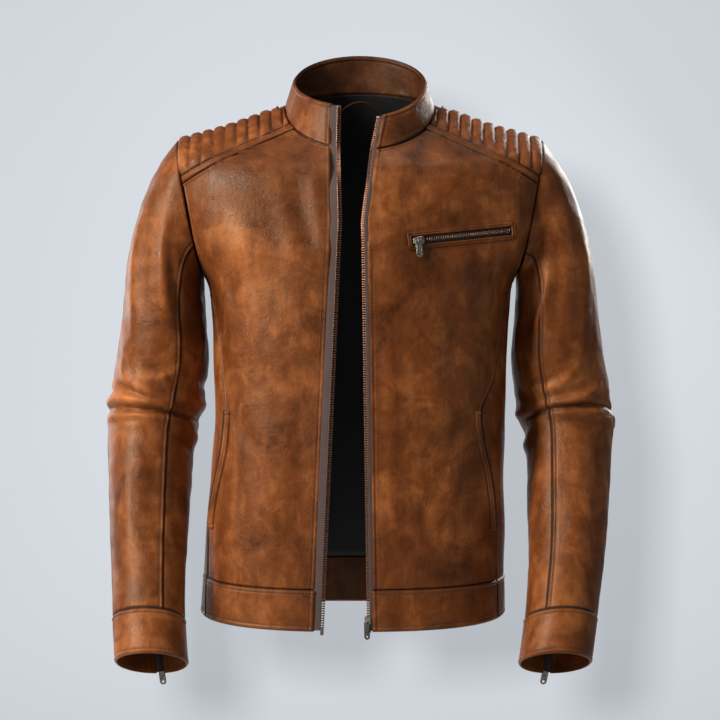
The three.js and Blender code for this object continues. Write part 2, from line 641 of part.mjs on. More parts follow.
// A closed zip in a slot: tape, joined teeth, slider and pull tab.
const CLOSED = { end: 1.2, tapeTop: -CHAIN.deep / 2 - 0.3, tapeSpare: 0.4 };
function closedZip(prefix, suffix, frame, long, slot, turn, hang) {
  const w = slot / 2 - CLOSED.tapeSpare;
  const { end, tapeTop } = CLOSED;
  const tape = block(-w, w, tapeTop - TAPE.thick, tapeTop, end, long - end);
  const chain = block(-CHAIN.wide / 2, CHAIN.wide / 2, -CHAIN.deep / 2, CHAIN.deep / 2, end, long - end);
  placed(`${prefix}_zip_tape${suffix}`, tape, frame, "tape");
  placed(`${prefix}_zip_teeth${suffix}`, chain, frame, "teeth");
  const parked = frame.clone().multiply(new THREE.Matrix4().makeTranslation(0, 0, end));
  placed(`${prefix}_slider${suffix}`, sliderBody(0, turn), parked, "metal");
  placed(`${prefix}_pull_tab${suffix}`, pullTab(hang, turn), parked, "metal");
}
const inFrame = (shape, frame) => solidOf(geometryOf(shape).applyMatrix4(frame));

// ---- chest pocket: a zip in a leather frame, set straight into the left front ----
const chestStart = new THREE.Vector3(CHEST.x0, CHEST.y[0], CHEST.z0);
const chestEnd = new THREE.Vector3(CHEST.x1, CHEST.y[1], CHEST.z1);
const chestLong = chestStart.distanceTo(chestEnd);
const chestFrame = zipFrame(chestStart, chestEnd, new THREE.Vector3(0.25, -1, 0));
closedZip("chest", "", chestFrame, chestLong, CHEST.wide, -90, 0);
const rimOut = CHEST.wide / 2 + CHEST.rim;
const rim = block(-rimOut, rimOut, 0.5, 1.7, -CHEST.rim, chestLong + CHEST.rim).subtract(
  block(-CHEST.wide / 2, CHEST.wide / 2, -FAR, FAR, 0, chestLong),
);
placed("chest_pocket_frame", rim, chestFrame, "leather");
const chestSlot = inFrame(
  block(-CHEST.wide / 2, CHEST.wide / 2, -LEATHER - 1, 8, 0, chestLong),
  chestFrame,
);
part("front_panel_left", frontPanels.left.subtract(chestSlot), "leather");
part("front_panel_right", frontPanels.right, "leather");

// ---- pocket bags between leather and lining, and the welts of the hand pockets ----
const bags = torsoWall(BAND_Z + 12, -150, -INNER - BAG, -INNER);
const BAG_DROP = 130;
const chestBag = [
  [CHEST.x0 + 2, CHEST.z0 - 8],
  [CHEST.x1 - 2, CHEST.z1 - 8],
  [CHEST.x1 - 10, CHEST.z1 - BAG_DROP],
  [CHEST.x0 + 8, CHEST.z0 - BAG_DROP],
];
part("chest_pocket_bag", bags.intersect(front(chestBag)), "lining");
const WELT = { wide: 7, edge: 1, from: 0.35, to: 1.35 };
const HAND_POCKET = { top: -402, bottom: -549, deep: 62 };
const weltWall = torsoWall(-566, -386, WELT.from, WELT.to);
for (const [word, side] of SIDES) {
  const slit = SIDE_SEAM[word].filter(([, z]) => z <= HAND_POCKET.top + 6 && z >= HAND_POCKET.bottom - 2);
  const offset = (by) => slit.map(([x, z]) => [side * (x - by), z]);
  const welt = [...offset(WELT.edge), ...offset(WELT.edge + WELT.wide).reverse()];
  part(`hand_pocket_welt_${word}`, weltWall.intersect(front(welt)), "leather");
  const bag = [...offset(-4), ...offset(HAND_POCKET.deep).reverse()];
  part(`hand_pocket_bag_${word}`, bags.intersect(front(bag)), "lining");
}

// ---- sleeves: an upper and an under sleeve, a cuff with a zipped vent, and a lining ----
const SLEEVE_LINING = 4; // depth of the sleeve lining under the leather's face
const CUFF_GAP = 0.006; // in sections
const SEAM_TURN = 0.25; // degrees, half the gap between the two sleeve pieces
const VENT_TOP = CUFF_SEAM - 0.51; // section where the vent ends
const SLEEVE_ROWS = steps(1, CUFF_SEAM - 1, CUFF_SEAM - 2);
function sleeveSheet(side, a0, a1, count, s0, s1, from, to) {
  const wrap = a1 - a0 === 360;
  const angles = wrap ? steps(a0, a1, count).slice(0, -1) : steps(a0, a1, count);
  const rows = [s0, ...SLEEVE_ROWS.filter((s) => s > s0 && s < s1), s1];
  return sheet((a, s) => sleeve(side, a, s), angles, rows, wrap, from, to, -side);
}
for (const [word, side] of SIDES) {
  const outboard = column(
    mirror([[armX(TOP, -0.2), TOP], [FAR * 2, TOP], [FAR * 2, -800], [armX(-800, -0.2), -800]], side),
    -FAR,
    FAR,
  );
  const edge = sleeve(side, BACK_SEAM, SLEEVE.length - 1);
  const upper = sleeve(side, BACK_SEAM, VENT_TOP);
  const long = edge.distanceTo(upper);
  const outward = edge.clone().sub(sleeve(side, BACK_SEAM - 180, SLEEVE.length - 1));
  const frame = zipFrame(edge, upper, outward);
  const slot = inFrame(block(-SLOT / 2, SLOT / 2, -6, 7, -14, long + 1), frame);
  const make = (name, a0, a1, count) => {
    const shape = sleeveSheet(side, a0, a1, count, 0, CUFF_SEAM - CUFF_GAP, -LEATHER, 0);
    part(`${name}_${word}`, shape.intersect(outboard).subtract(slot), "leather");
  };
  make("upper_sleeve", BACK_SEAM - 360 + SEAM_TURN, FRONT_SEAM - SEAM_TURN, 11);
  make("under_sleeve", FRONT_SEAM + SEAM_TURN, BACK_SEAM - SEAM_TURN, 7);
  const cuff = sleeveSheet(side, 0, 360, 20, CUFF_SEAM + CUFF_GAP, SLEEVE.length - 1, -LEATHER, PROUD);
  part(`cuff_${word}`, cuff.subtract(slot), "leather");
  const inner = sleeveSheet(side, 0, 360, 18, 0.4, CUFF_SEAM + 0.4, -SLEEVE_LINING - LINING, -SLEEVE_LINING);
  part(`sleeve_lining_${word}`, inner.intersect(outboard).subtract(slot), "lining");
  closedZip("cuff", `_${word}`, frame, long, SLOT, 0, SLEEVE.at(-1).lean);
}

// The whole jacket hangs with its loop's underside on the origin.
const hung = new THREE.Group();
hung.add(...group.children);
hung.position.set(0, -LOOP.y, -LOOP.z);
const jacket = new THREE.Group();
jacket.add(hung);

export default jacket;
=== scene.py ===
# A tan leather riding jacket with a stand collar, quilted shoulders and an open front zip. It hangs
# from the loop inside its back neck, and every piece is cut, sewn and fitted as the real one is.
import math

import bpy
import numpy as np
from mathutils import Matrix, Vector
from mathutils.bvhtree import BVHTree
from mathutils.geometry import tessellate_polygon


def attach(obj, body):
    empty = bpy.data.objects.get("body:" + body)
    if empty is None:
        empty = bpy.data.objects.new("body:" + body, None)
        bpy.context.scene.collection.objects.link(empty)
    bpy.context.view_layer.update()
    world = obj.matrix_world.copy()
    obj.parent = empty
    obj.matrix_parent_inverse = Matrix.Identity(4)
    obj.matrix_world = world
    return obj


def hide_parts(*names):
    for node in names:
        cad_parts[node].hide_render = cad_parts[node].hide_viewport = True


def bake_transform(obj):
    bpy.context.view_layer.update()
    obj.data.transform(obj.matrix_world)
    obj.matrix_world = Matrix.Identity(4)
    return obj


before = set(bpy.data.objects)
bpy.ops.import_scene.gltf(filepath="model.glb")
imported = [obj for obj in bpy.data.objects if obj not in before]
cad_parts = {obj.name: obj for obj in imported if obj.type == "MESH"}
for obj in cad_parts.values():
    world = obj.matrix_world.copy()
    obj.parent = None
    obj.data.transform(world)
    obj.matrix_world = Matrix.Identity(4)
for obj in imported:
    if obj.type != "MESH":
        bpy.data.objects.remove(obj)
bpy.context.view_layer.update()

# ---- The studio: a pale blue-grey wall far behind the jacket and a floor well below it ----
# A tall soft light stands at the upper left, a weak one at the right, and two light the back.
# A small light beside the camera reaches only the wall and draws the jacket's soft shadow there.
WALL_BLUE = (0.63, 0.68, 0.73)
EYE_HEIGHT = -0.335
EYE_DISTANCE = 2.054
FIELD_OF_VIEW = math.radians(25.75)
SENSOR = 36

eye = bpy.data.cameras.new("camera")
eye.sensor_width = SENSOR
eye.lens = SENSOR / 2 / math.tan(FIELD_OF_VIEW / 2)
camera = bpy.data.objects.new("camera", eye)
camera.location = (0, -EYE_DISTANCE, EYE_HEIGHT)
camera.rotation_euler = (math.pi / 2, 0, 0)
bpy.context.scene.collection.objects.link(camera)
bpy.context.scene.camera = camera
bpy.context.scene.view_settings.view_transform = "Standard"

world = bpy.data.worlds.new("studio air")
world.use_nodes = True
world.node_tree.nodes["Background"].inputs["Color"].default_value = (*WALL_BLUE, 1)
world.node_tree.nodes["Background"].inputs["Strength"].default_value = 0.2
bpy.context.scene.world = world


def plain_surface(name, color, glow, roughness=0.9):
    made = bpy.data.materials.new(name)
    made.use_nodes = True
    shader = made.node_tree.nodes["Principled BSDF"]
    shader.inputs["Base Color"].default_value = (*color, 1)
    shader.inputs["Roughness"].default_value = roughness
    shader.inputs["Emission Color"].default_value = (*WALL_BLUE, 1)
    shader.inputs["Emission Strength"].default_value = glow
    return made


def backdrop(name, corners, material):
    mesh = bpy.data.meshes.new(name)
    mesh.from_pydata(corners, [], [(0, 1, 2, 3)])
    mesh.materials.append(material)
    made = bpy.data.objects.new(name, mesh)
    bpy.context.scene.collection.objects.link(made)
    return made


WALL_Y = 2.75
FLOOR_Z = -1.5
wall = backdrop(
    "wall",
    [(-1.5, WALL_Y, -1.7), (1.5, WALL_Y, -1.7), (1.5, WALL_Y, 1.2), (-1.5, WALL_Y, 1.2)],
    plain_surface("wall paint", (0.20, 0.21, 0.22), 0.51),
)
backdrop(
    "floor",
    [(-2.4, -2.4, FLOOR_Z), (2.4, -2.4, FLOOR_Z), (2.4, 2.4, FLOOR_Z), (-2.4, 2.4, FLOOR_Z)],
    plain_surface("floor paint", (0.6, 0.63, 0.66), 0.0),
)


def soft_light(name, place, aim, wide, tall, watts, color=(1, 1, 1)):
    data = bpy.data.lights.new(name, "AREA")
    data.shape = "RECTANGLE"
    data.size, data.size_y = wide, tall
    data.energy = watts
    data.color = color
    made = bpy.data.objects.new(name, data)
    made.location = place
    direction = np.array(aim, float) - np.array(place, float)
    flat = math.hypot(direction[0], direction[1])
    tilt = math.atan2(flat, -direction[2])
    made.rotation_euler = (tilt, 0, math.atan2(direction[1], direction[0]) - math.pi / 2)
    bpy.context.scene.collection.objects.link(made)
    return made


CHEST_AIM = (-0.05, -0.1, -0.3)
soft_light("tall key", (-1.95, -1.45, 0.75), CHEST_AIM, 0.5, 1.7, 104, (1, 0.97, 0.93))
soft_light("right fill", (2.1, -1.5, 0.2), CHEST_AIM, 0.5, 1.6, 4, (0.95, 0.97, 1))
soft_light("top", (0.1, -0.5, 1.7), CHEST_AIM, 1.2, 0.8, 10)
soft_light("back key", (1.5, 2.1, 0.8), (0, 0, -0.3), 0.8, 1.6, 42, (1, 0.97, 0.93))
soft_light("back fill", (-1.9, 1.7, 0.0), (0, 0, -0.3), 0.8, 1.6, 16)
shadow_maker = soft_light("shadow maker", (-0.12, -2.1, -0.24), (0, WALL_Y, -0.5), 0.1, 0.1, 215)
only_wall = bpy.data.collections.new("only the wall")
only_wall.objects.link(wall)
shadow_maker.light_linking.receiver_collection = only_wall

# ---- The two front panels: single pieces of full-grain leather, 2 mm thick ----
# Each is sewn to the yoke strip, the armhole, the side panel and the hem band, with its turnings
# pressed under, and its front edge is folded over the zip tape and topstitched.
MM = 0.001
LOOP_FOOT = np.array([0, 54, -5])  # where the hook holds the loop, from the neck's own centre
LEATHER = 2.2
PROUD = 0.8  # how far the doubled hem bands and cuffs stand out
NECK = -20
HEM = -655
BAND = -608

# Sections of the body from the hem to the neck seam: height, half width, depth to the front and to
# the back, drop of the front, rise of the back, squareness, and the hanging hem's sideways lean.
BODY = np.array([
    (HEM, 191, 116, 112, 10, -7, 2.5, -9),
    (-530, 187, 118.8, 108, 4, -3, 2.5, -5),
    (-398, 183, 121.7, 107, 0, 0, 2.5, 0),
    (-272, 189, 124.4, 116, 0, 0, 2.5, 0),
    (-243, 193, 125.2, 118, 0, 0, 2.4, 0),
    (-200, 215, 126, 120, 0, 0, 2.4, 0),
    (-130, 241, 117, 118, 12, 5, 2.3, 0),
    (-66, 238, 107, 104, 42, 8, 2.1, 0),
    (-43, 165, 100, 91, 54, 22, 2, 0),
    (NECK, 95, 92, 72, 65, 30, 2, 0),
])


def between(by, values, at):
    """A smooth value between the sections of a table."""
    last = len(by) - 1
    c = np.clip(np.searchsorted(by, at, side="left"), 1, last)
    a, b, d = np.maximum(c - 2, 0), c - 1, np.minimum(c + 1, last)
    span = by[c] - by[b]
    t = (at - by[b]) / span
    slope_b = (values[c] - values[a]) / (by[c] - by[a]) * span
    slope_c = (values[d] - values[b]) / (by[d] - by[b]) * span
    return (
        (2 * t**3 - 3 * t**2 + 1) * values[b]
        + (t**3 - 2 * t**2 + t) * slope_b
        + (3 * t**2 - 2 * t**3) * values[c]
        + (t**3 - t**2) * slope_c
    )


def smooth(t):
    t = np.clip(t, 0, 1)
    return t * t * (3 - 2 * t)


CHEST_ZIP = {"x": (62, 184), "z": (-198, -183), "y": (-119.5, -88), "wide": 11, "rim": 5}


def body(angle, h):
    """The body's surface: angle in degrees from the wearer's left side by the front (90)."""
    angle, h = np.broadcast_arrays(np.asarray(angle, float), np.asarray(h, float))
    half, front, back, dip, rise, square, shift = (
        between(BODY[:, 0], BODY[:, k], h) for k in range(1, 8)
    )
    c, s = np.cos(np.radians(angle)), np.sin(np.radians(angle))
    power = 2 / square
    x = half * np.sign(c) * np.abs(c) ** power + shift
    deep = np.abs(s) ** power
    y = np.where(s > 0, -front * deep, back * deep)
    z = h + np.where(s > 0, -dip, rise) * np.abs(s)
    # the chest zip holds the leather straight, so the surface runs flat beside it
    x0, x1 = CHEST_ZIP["x"]
    t = (x - x0) / (x1 - x0)
    off = np.abs(z - np.interp(t, (0, 1), CHEST_ZIP["z"]))
    weight = smooth((t + 0.35) / 0.3) * smooth((1.25 - t) / 0.2) * (1 - smooth((off - 14) / 40))
    straight = CHEST_ZIP["y"][0] + (CHEST_ZIP["y"][1] - CHEST_ZIP["y"][0]) * t
    y = np.where((y < 0) & (t > -0.35) & (t < 1.25), y + (straight - y) * weight, y)
    return np.stack([x, y, z], -1)


def unit(v):
    return v / np.maximum(np.linalg.norm(v, axis=-1, keepdims=True), 1e-9)


def normals(surface, a, b, outward=1, step=(0.4, 0.4)):
    up = surface(a, b + step[1]) - surface(a, b - step[1])
    along = surface(a + step[0], b) - surface(a - step[0], b)
    return unit(np.cross(up, along)) * outward


def bisect(lo, hi, rising):
    """Where a rising value crosses zero, between lo and hi, for whole arrays."""
    lo, hi = np.broadcast_arrays(np.asarray(lo, float), np.asarray(hi, float))
    lo, hi = lo.copy(), hi.copy()
    for _ in range(44):
        middle = (lo + hi) / 2
        above = rising(middle) > 0
        hi = np.where(above, middle, hi)
        lo = np.where(above, lo, middle)
    return (lo + hi) / 2


def turn_where(h, side, back, target):
    """The angle at which the ring at height h reaches the outward distance target(z)."""
    start = 0 if side > 0 else 180
    end = start + (-90 if back else 90) * side

    def gap(share):
        p = body(start + (end - start) * share, h)
        return target(p[..., 2]) - side * p[..., 0]

    return start + (end - start) * bisect(np.zeros_like(h), np.ones_like(h), gap)


# Front edges from the hem to the neck seam, and seams as seen from the front or back: x, z.
EDGE = {
    1: np.array([(15.5, -665), (8.5, -173), (19.5, -86), (28, -44)]),
    -1: np.array([(-56, -665), (-34, -173), (-36.5, -86), (-35.5, -31)]),
}
SIDE_SEAM = {
    1: np.array([(170, -700), (167, -549), (161, -482), (152, -445), (147, -402), (164, -365),
                 (175, -305), (182, -262), (197.4, -235)]),
    -1: np.array([(191, -700), (189, -550), (182, -500), (169, -440), (167, -397), (173, -340),
                  (182, -292), (189, -262), (197.4, -235)]),
}
BACK_SEAM = np.array([(166, -700), (166, -420), (167, -320), (172, -280), (181, -252), (197.4, -235)])
ARMPIT = np.array([196, -242])
SHOULDER = np.array([231, -66])
ARM_SLOPE = (SHOULDER[0] - ARMPIT[0]) / (SHOULDER[1] - ARMPIT[1])
YOKE = {"x": 80, "z": -52, "fall": 0.503, "strip": 10}
YOKE_BACK = {"x": 80, "z": -12, "fall": 0.676}
BACK_YOKE_Z = -160


def seam_x(table, z):
    return between(table[:, 1], table[:, 0], z)


def arm_x(z):
    return ARMPIT[0] + (z - ARMPIT[1]) * ARM_SLOPE


def edge_x(side, z):
    return np.interp(z, EDGE[side][:, 1], EDGE[side][:, 0])


def curve(angle, h):
    return np.stack(np.broadcast_arrays(np.asarray(angle, float), np.asarray(h, float)), -1)


def edge_curve(side, h0, h1, inset=0.0):
    """The front edge, or a line inset from it, between two rings."""
    h = np.linspace(h0, h1, 90)

    def gap(angle):
        p = body(angle, h)
        return edge_x(side, p[..., 2]) + side * inset - p[..., 0]

    return curve(bisect(np.full_like(h, 30), np.full_like(h, 150), gap), h)


def half_width(h):
    return between(BODY[:, 0], BODY[:, 1], h)


PIT_H = float(bisect(-243, -215, lambda h: half_width(h) - arm_x(h)))
RIDGE_H = float(bisect(-90, -43, lambda h: arm_x(h) - half_width(h)))


def side_curve(side, table, back, h0, count=120):
    """A side or back seam from the ring at h0 up to the armpit."""
    h = h0 + (PIT_H - h0) * np.linspace(0, 1, count)
    angle = turn_where(h, side, back, lambda z: seam_x(table, z))
    angle[-1] = 0 if side > 0 else 180
    return curve(angle, h)


def on_line(line, x, lift=0.0):
    return line["z"] - (x - line["x"]) * line["fall"] + lift


def ring_meets(line, lift, side, back):
    """The angle where a shoulder line starts on the neck ring."""
    start = 0 if side > 0 else 180
    turn = (-1 if back else 1) * side

    def gap(share):
        p = body(start + turn * share, NECK)
        return p[..., 2] - on_line(line, side * p[..., 0], lift) if back else (
            on_line(line, side * p[..., 0], lift) - p[..., 2])

    return start + turn * float(bisect(0, 60, gap))


UPPER_H = np.linspace(-100, NECK, 161)
UPPER_HALF = half_width(UPPER_H)


def on_body(x, z, side, back):
    """Angle and height of the body's point with this outward x and this z."""
    x, z = np.broadcast_arrays(np.asarray(x, float), np.asarray(z, float))
    top = np.interp(x, UPPER_HALF[::-1], UPPER_H[::-1])
    start = 0 if side > 0 else 180

    def angle_at(h):
        half, square, shift = (between(BODY[:, 0], BODY[:, k], h) for k in (1, 6, 7))
        share = np.clip((x - side * shift) / half, 0, 1) ** (square / 2)
        return start + np.degrees(np.arccos(share)) * side * (-1 if back else 1)

    h = bisect(np.full_like(x, -720), top, lambda h: body(angle_at(h), h)[..., 2] - z)
    return curve(angle_at(h), h)


def arm_height(line, lift):
    """The z where a shoulder line meets the armhole."""
    return (line["z"] + lift - (arm_x(0) - line["x"]) * line["fall"]) / (1 + ARM_SLOPE * line["fall"])


def line_curve(line, lift, side, back):
    """A shoulder line from the neck ring to the armhole."""
    z1 = arm_height(line, lift)
    x1 = arm_x(z1)
    first = ring_meets(line, lift, side, back)
    x0 = side * float(body(first, NECK)[0])
    x = np.linspace(x0, x1, 80)
    made = on_body(x, on_line(line, x, lift), side, back)
    made[0] = (first, NECK)
    return made


def arm_curve(side, back, h0, h1, count=90):
    """The armhole between two heights of its front or back half."""
    t = np.linspace(0, math.pi, count)
    h = h0 + (h1 - h0) * (1 - np.cos(t)) / 2
    return curve(turn_where(h, side, back, arm_x), h)


def ring_curve(h, a, b):
    return curve(np.linspace(a, b, 90), h)


def joined(*curves):
    return np.concatenate([curves[0]] + [c[1:] for c in curves[1:]])


def spaced(line, surface, at):
    """A line on a surface at equal shares of its real length."""
    p = surface(line[:, 0], line[:, 1])
    run = np.concatenate([[0], np.cumsum(np.linalg.norm(np.diff(p, axis=0), axis=1))])
    return np.stack([np.interp(at * run[-1], run, line[:, k]) for k in (0, 1)], -1)


SEAM_STEPS = np.array([0, 0.5, 1.1, 1.8, 2.6, 3.4, 4.2, 4.9, 5.6, 6.4, 7.6, 9.4])


def graded(length, step, fine=(True, True)):
    """Shares of a length, close together where a seam and its stitches need it."""
    near = SEAM_STEPS / length
    start = near if fine[0] else np.array([0.0])
    end = 1 - near[::-1] if fine[1] else np.array([1.0])
    count = max(int((end[0] - start[-1]) * length / step), 2)
    return np.concatenate([start, np.linspace(start[-1], end[0], count + 1)[1:-1], end])


def length_of(line, surface):
    return np.linalg.norm(np.diff(surface(line[:, 0], line[:, 1]), axis=0), axis=1).sum()


def patch(low, high, left, right, step, surface=body, fine=(True, True, True, True), across=None):
    """A grid between four lines: low and high run from left to right, left and right upwards.
    Its columns stand at the shares given as across, or close together near the seams."""
    wide = max(length_of(low, surface), length_of(high, surface))
    tall = max(length_of(left, surface), length_of(right, surface))
    u = graded(wide, step, (fine[0], fine[1])) if across is None else across
    v = graded(tall, step, (fine[2], fine[3]))
    a, b = spaced(low, surface, u), spaced(high, surface, u)
    c, d = spaced(left, surface, v), spaced(right, surface, v)
    U, V = u[None, :, None], v[:, None, None]
    mix = (1 - V) * a[None] + V * b[None] + (1 - U) * c[:, None] + U * d[:, None]
    corners = (
        (1 - U) * (1 - V) * a[0] + U * (1 - V) * a[-1] + (1 - U) * V * b[0] + U * V * b[-1]
    )
    return mix - corners


def distance_to(points, line):
    """Distance from each point of a grid to a line of points."""
    flat = points.reshape(-1, 3)
    best = np.full(len(flat), 1e9)
    for i in range(len(line) - 1):
        a, d = line[i], line[i + 1] - line[i]
        t = np.clip(((flat - a) @ d) / max(d @ d, 1e-9), 0, 1)
        best = np.minimum(best, ((flat - a - t[:, None] * d) ** 2).sum(1))
    return np.sqrt(best).reshape(points.shape[:-1])


def sides_of(grid):
    return {"low": grid[0], "high": grid[-1], "left": grid[:, 0], "right": grid[:, -1]}


TOPSTITCH = 5.2  # from the seam to its stitch line


def sewn(points, turned=(), stitched=(), folded=()):
    """What sewing does to a panel near its sides, and how near each point is to a seam."""
    lift = np.zeros(points.shape[:-1])
    near = np.zeros(points.shape[:-1])
    for name, line in sides_of(points).items():
        if name not in turned + stitched + folded:
            continue
        away = distance_to(points, line[:: max(len(line) // 110, 1)])
        if name in folded:
            lift -= 0.9 * np.exp(-((away / 1.0) ** 2))
        else:
            lift -= 1.5 * np.exp(-((away / 1.3) ** 2))
        near = np.maximum(near, np.exp(-((away / 1.9) ** 2)) * (0.35 if name in folded else 1))
        if name in stitched + folded:
            lift -= 0.55 * np.exp(-(((away - TOPSTITCH) / 0.9) ** 2))
            lift += 0.5 * np.exp(-(((away - 2.7) / 1.5) ** 2))
            near = np.maximum(near, 0.5 * np.exp(-(((away - TOPSTITCH) / 0.9) ** 2)))
    return lift, near


def waves(points, lengths, seed):
    """Smooth unevenness of a hanging hide, from waves in every direction."""
    draw = np.random.default_rng(seed)
    total = np.zeros(points.shape[:-1])
    for length in lengths:
        direction = unit(draw.normal(size=3))
        total += np.sin(points @ direction * 2 * math.pi / length + draw.uniform(0, 2 * math.pi))
    return total / math.sqrt(len(lengths))


def along(a, b, path):
    """Distance from a path in two coordinates, and how far along the path, 0 to 1."""
    path = np.array(path, float)
    steps = np.linalg.norm(np.diff(path, axis=0), axis=1)
    run = np.concatenate([[0], np.cumsum(steps)]) / steps.sum()
    best = np.full(a.shape, 1e9)
    share = np.zeros(a.shape)
    for i, (p, q) in enumerate(zip(path[:-1], path[1:])):
        d = q - p
        t = np.clip(((a - p[0]) * d[0] + (b - p[1]) * d[1]) / (d @ d), 0, 1)
        off = np.hypot(a - p[0] - t * d[0], b - p[1] - t * d[1])
        share = np.where(off < best, run[i] + t * (run[i + 1] - run[i]), share)
        best = np.minimum(best, off)
    return best, share


def rounded(path, count=16):
    """A given path with its corners rounded."""
    path = np.array(path, float)
    at = np.arange(len(path), dtype=float)
    fine = np.linspace(0, len(path) - 1, count)
    return np.stack([between(at, path[:, k], fine) for k in range(path.shape[1])], -1)


def folds(a, b, table):
    total = np.zeros(a.shape)
    for height, wide, path in table:
        off, share = along(a, b, rounded(path))
        fade = np.sin(math.pi * np.clip(share, 0.04, 0.96)) ** 0.7
        total += height * np.exp(-((off / wide) ** 2)) * fade
    return total


# Soft folds of the fronts: height, half width, and path in x and z.
FRONT_FOLDS = [
    (-3.4, 13, [(-78, -88), (-76, -130), (-70, -175), (-50, -215), (-36, -245)]),
    (2.6, 18, [(-160, -140), (-143, -205), (-132, -268), (-118, -330)]),
    (-2.0, 15, [(-112, -130), (-105, -190), (-100, -250)]),
    (1.9, 9, [(-55, -120), (-48, -165), (-44, -205)]),
    (-3.6, 12, [(-203, -205), (-186, -250), (-176, -300), (-168, -345)]),
    (2.2, 10, [(-182, -215), (-166, -262), (-158, -310)]),
    (1.8, 24, [(-118, -400), (-112, -480), (-108, -570)]),
    (-1.8, 22, [(-78, -380), (-70, -470), (-76, -570)]),
    (-2.2, 11, [(-150, -395), (-138, -430), (-118, -452)]),
    (1.8, 12, [(36, -150), (34, -300), (33, -450), (30, -560)]),
    (-2.8, 12, [(80, -62), (74, -110), (60, -150), (52, -175)]),
    (1.8, 14, [(105, -80), (112, -120), (120, -160)]),
    (-3.4, 11, [(203, -205), (187, -250), (178, -300), (172, -345)]),
    (2.4, 12, [(184, -225), (164, -262), (150, -312)]),
    (-1.8, 16, [(120, -250), (112, -320), (118, -390)]),
    (1.6, 22, [(92, -260), (84, -340), (88, -430)]),
    (-2.0, 12, [(138, -395), (122, -425), (100, -440)]),
    (1.6, 20, [(120, -440), (112, -510), (120, -580)]),
]
BACK_FOLDS = [
    (-3.0, 14, [(150, -150), (120, -200), (104, -262)]),
    (-3.0, 14, [(-150, -150), (-122, -205), (-100, -270)]),
    (2.4, 20, [(172, -180), (150, -240), (140, -310)]),
    (2.4, 20, [(-172, -180), (-150, -240), (-138, -310)]),
    (-2.6, 22, [(-100, -400), (-20, -418), (60, -408), (120, -392)]),
    (2.2, 22, [(-120, -360), (-30, -372), (80, -366)]),
    (2.0, 26, [(-40, -470), (-46, -540), (-50, -600)]),
    (-2.0, 24, [(50, -460), (56, -530), (52, -600)]),
    (1.6, 24, [(0, -180), (6, -250), (0, -330)]),
]


def drape(points):
    """How far the hanging leather stands off its plain shape, in the middle of its panels."""
    x, y, z = points[..., 0], points[..., 1], points[..., 2]
    front = smooth((-y - 10) / 50)
    rear = smooth((y - 10) / 50)
    total = folds(x, z, FRONT_FOLDS) * front + folds(x, z, BACK_FOLDS) * rear
    total += 0.75 * waves(points, (150, 120, 95, 80, 130, 70), 3)
    uneven = 0.6 + 0.4 * waves(points, (160, 120), 8)
    total += 0.28 * waves(points, (34, 27, 41, 22, 30, 25), 5) * uneven
    for side in (1, -1):
        off = np.where((y < 0) & (z < 20), np.abs(x - edge_x(side, z)), 99)
        total *= 0.15 + 0.85 * smooth((off - 3) / 24)
    held = smooth((z - HEM) / 90) * smooth((-38 - z) / 50)
    beside, ends = near_chest_zip(points)
    calm = smooth((np.maximum(beside - 8, ends - 4) - 4) / 22)
    return total * (0.25 + 0.75 * held) * np.where(y < 0, calm, 1)


def near_chest_zip(points):
    """Distance beside the chest zip's line, and beyond its ends."""
    x0, x1 = CHEST_ZIP["x"]
    z0, z1 = CHEST_ZIP["z"]
    slope = (z1 - z0) / (x1 - x0)
    beside = np.abs(points[..., 2] - z0 - slope * (points[..., 0] - x0))
    ends = np.maximum(x0 - points[..., 0], points[..., 0] - x1)
    return np.where(points[..., 1] < 0, beside, 99), ends


def chest_opening(points):
    """1 where the panel is cut away and turned under for the chest zip."""
    beside, ends = near_chest_zip(points)
    return (1 - smooth((beside - 5.8) / 2.6)) * (1 - smooth((ends - 0.5) / 2.6))


def build(name, points, faces, material, flat=False, **marks):
    """A mesh object from points in the neck's own frame."""
    faces = np.asarray(faces, np.int32)
    placed = (np.asarray(points, float) - LOOP_FOOT) * MM
    mesh = bpy.data.meshes.new(name)
    mesh.vertices.add(len(placed))
    mesh.vertices.foreach_set("co", placed.astype(np.float32).ravel())
    mesh.loops.add(faces.size)
    mesh.loops.foreach_set("vertex_index", faces.ravel())
    mesh.polygons.add(len(faces))
    mesh.polygons.foreach_set("loop_start", np.arange(len(faces), dtype=np.int32) * faces.shape[1])
    mesh.update(calc_edges=True)
    mesh.polygons.foreach_set("use_smooth", np.full(len(faces), not flat))
    mesh.materials.append(material)
    cut = mesh.attributes.new("cut", "FLOAT_VECTOR", "POINT")
    cut.data.foreach_set("vector", placed.astype(np.float32).ravel())
    for mark, values in marks.items():
        made = mesh.attributes.new(mark, "FLOAT", "POINT")
        made.data.foreach_set("value", np.asarray(values, np.float32).ravel())
    made = bpy.data.objects.new(name, mesh)
    bpy.context.scene.collection.objects.link(made)
    return made


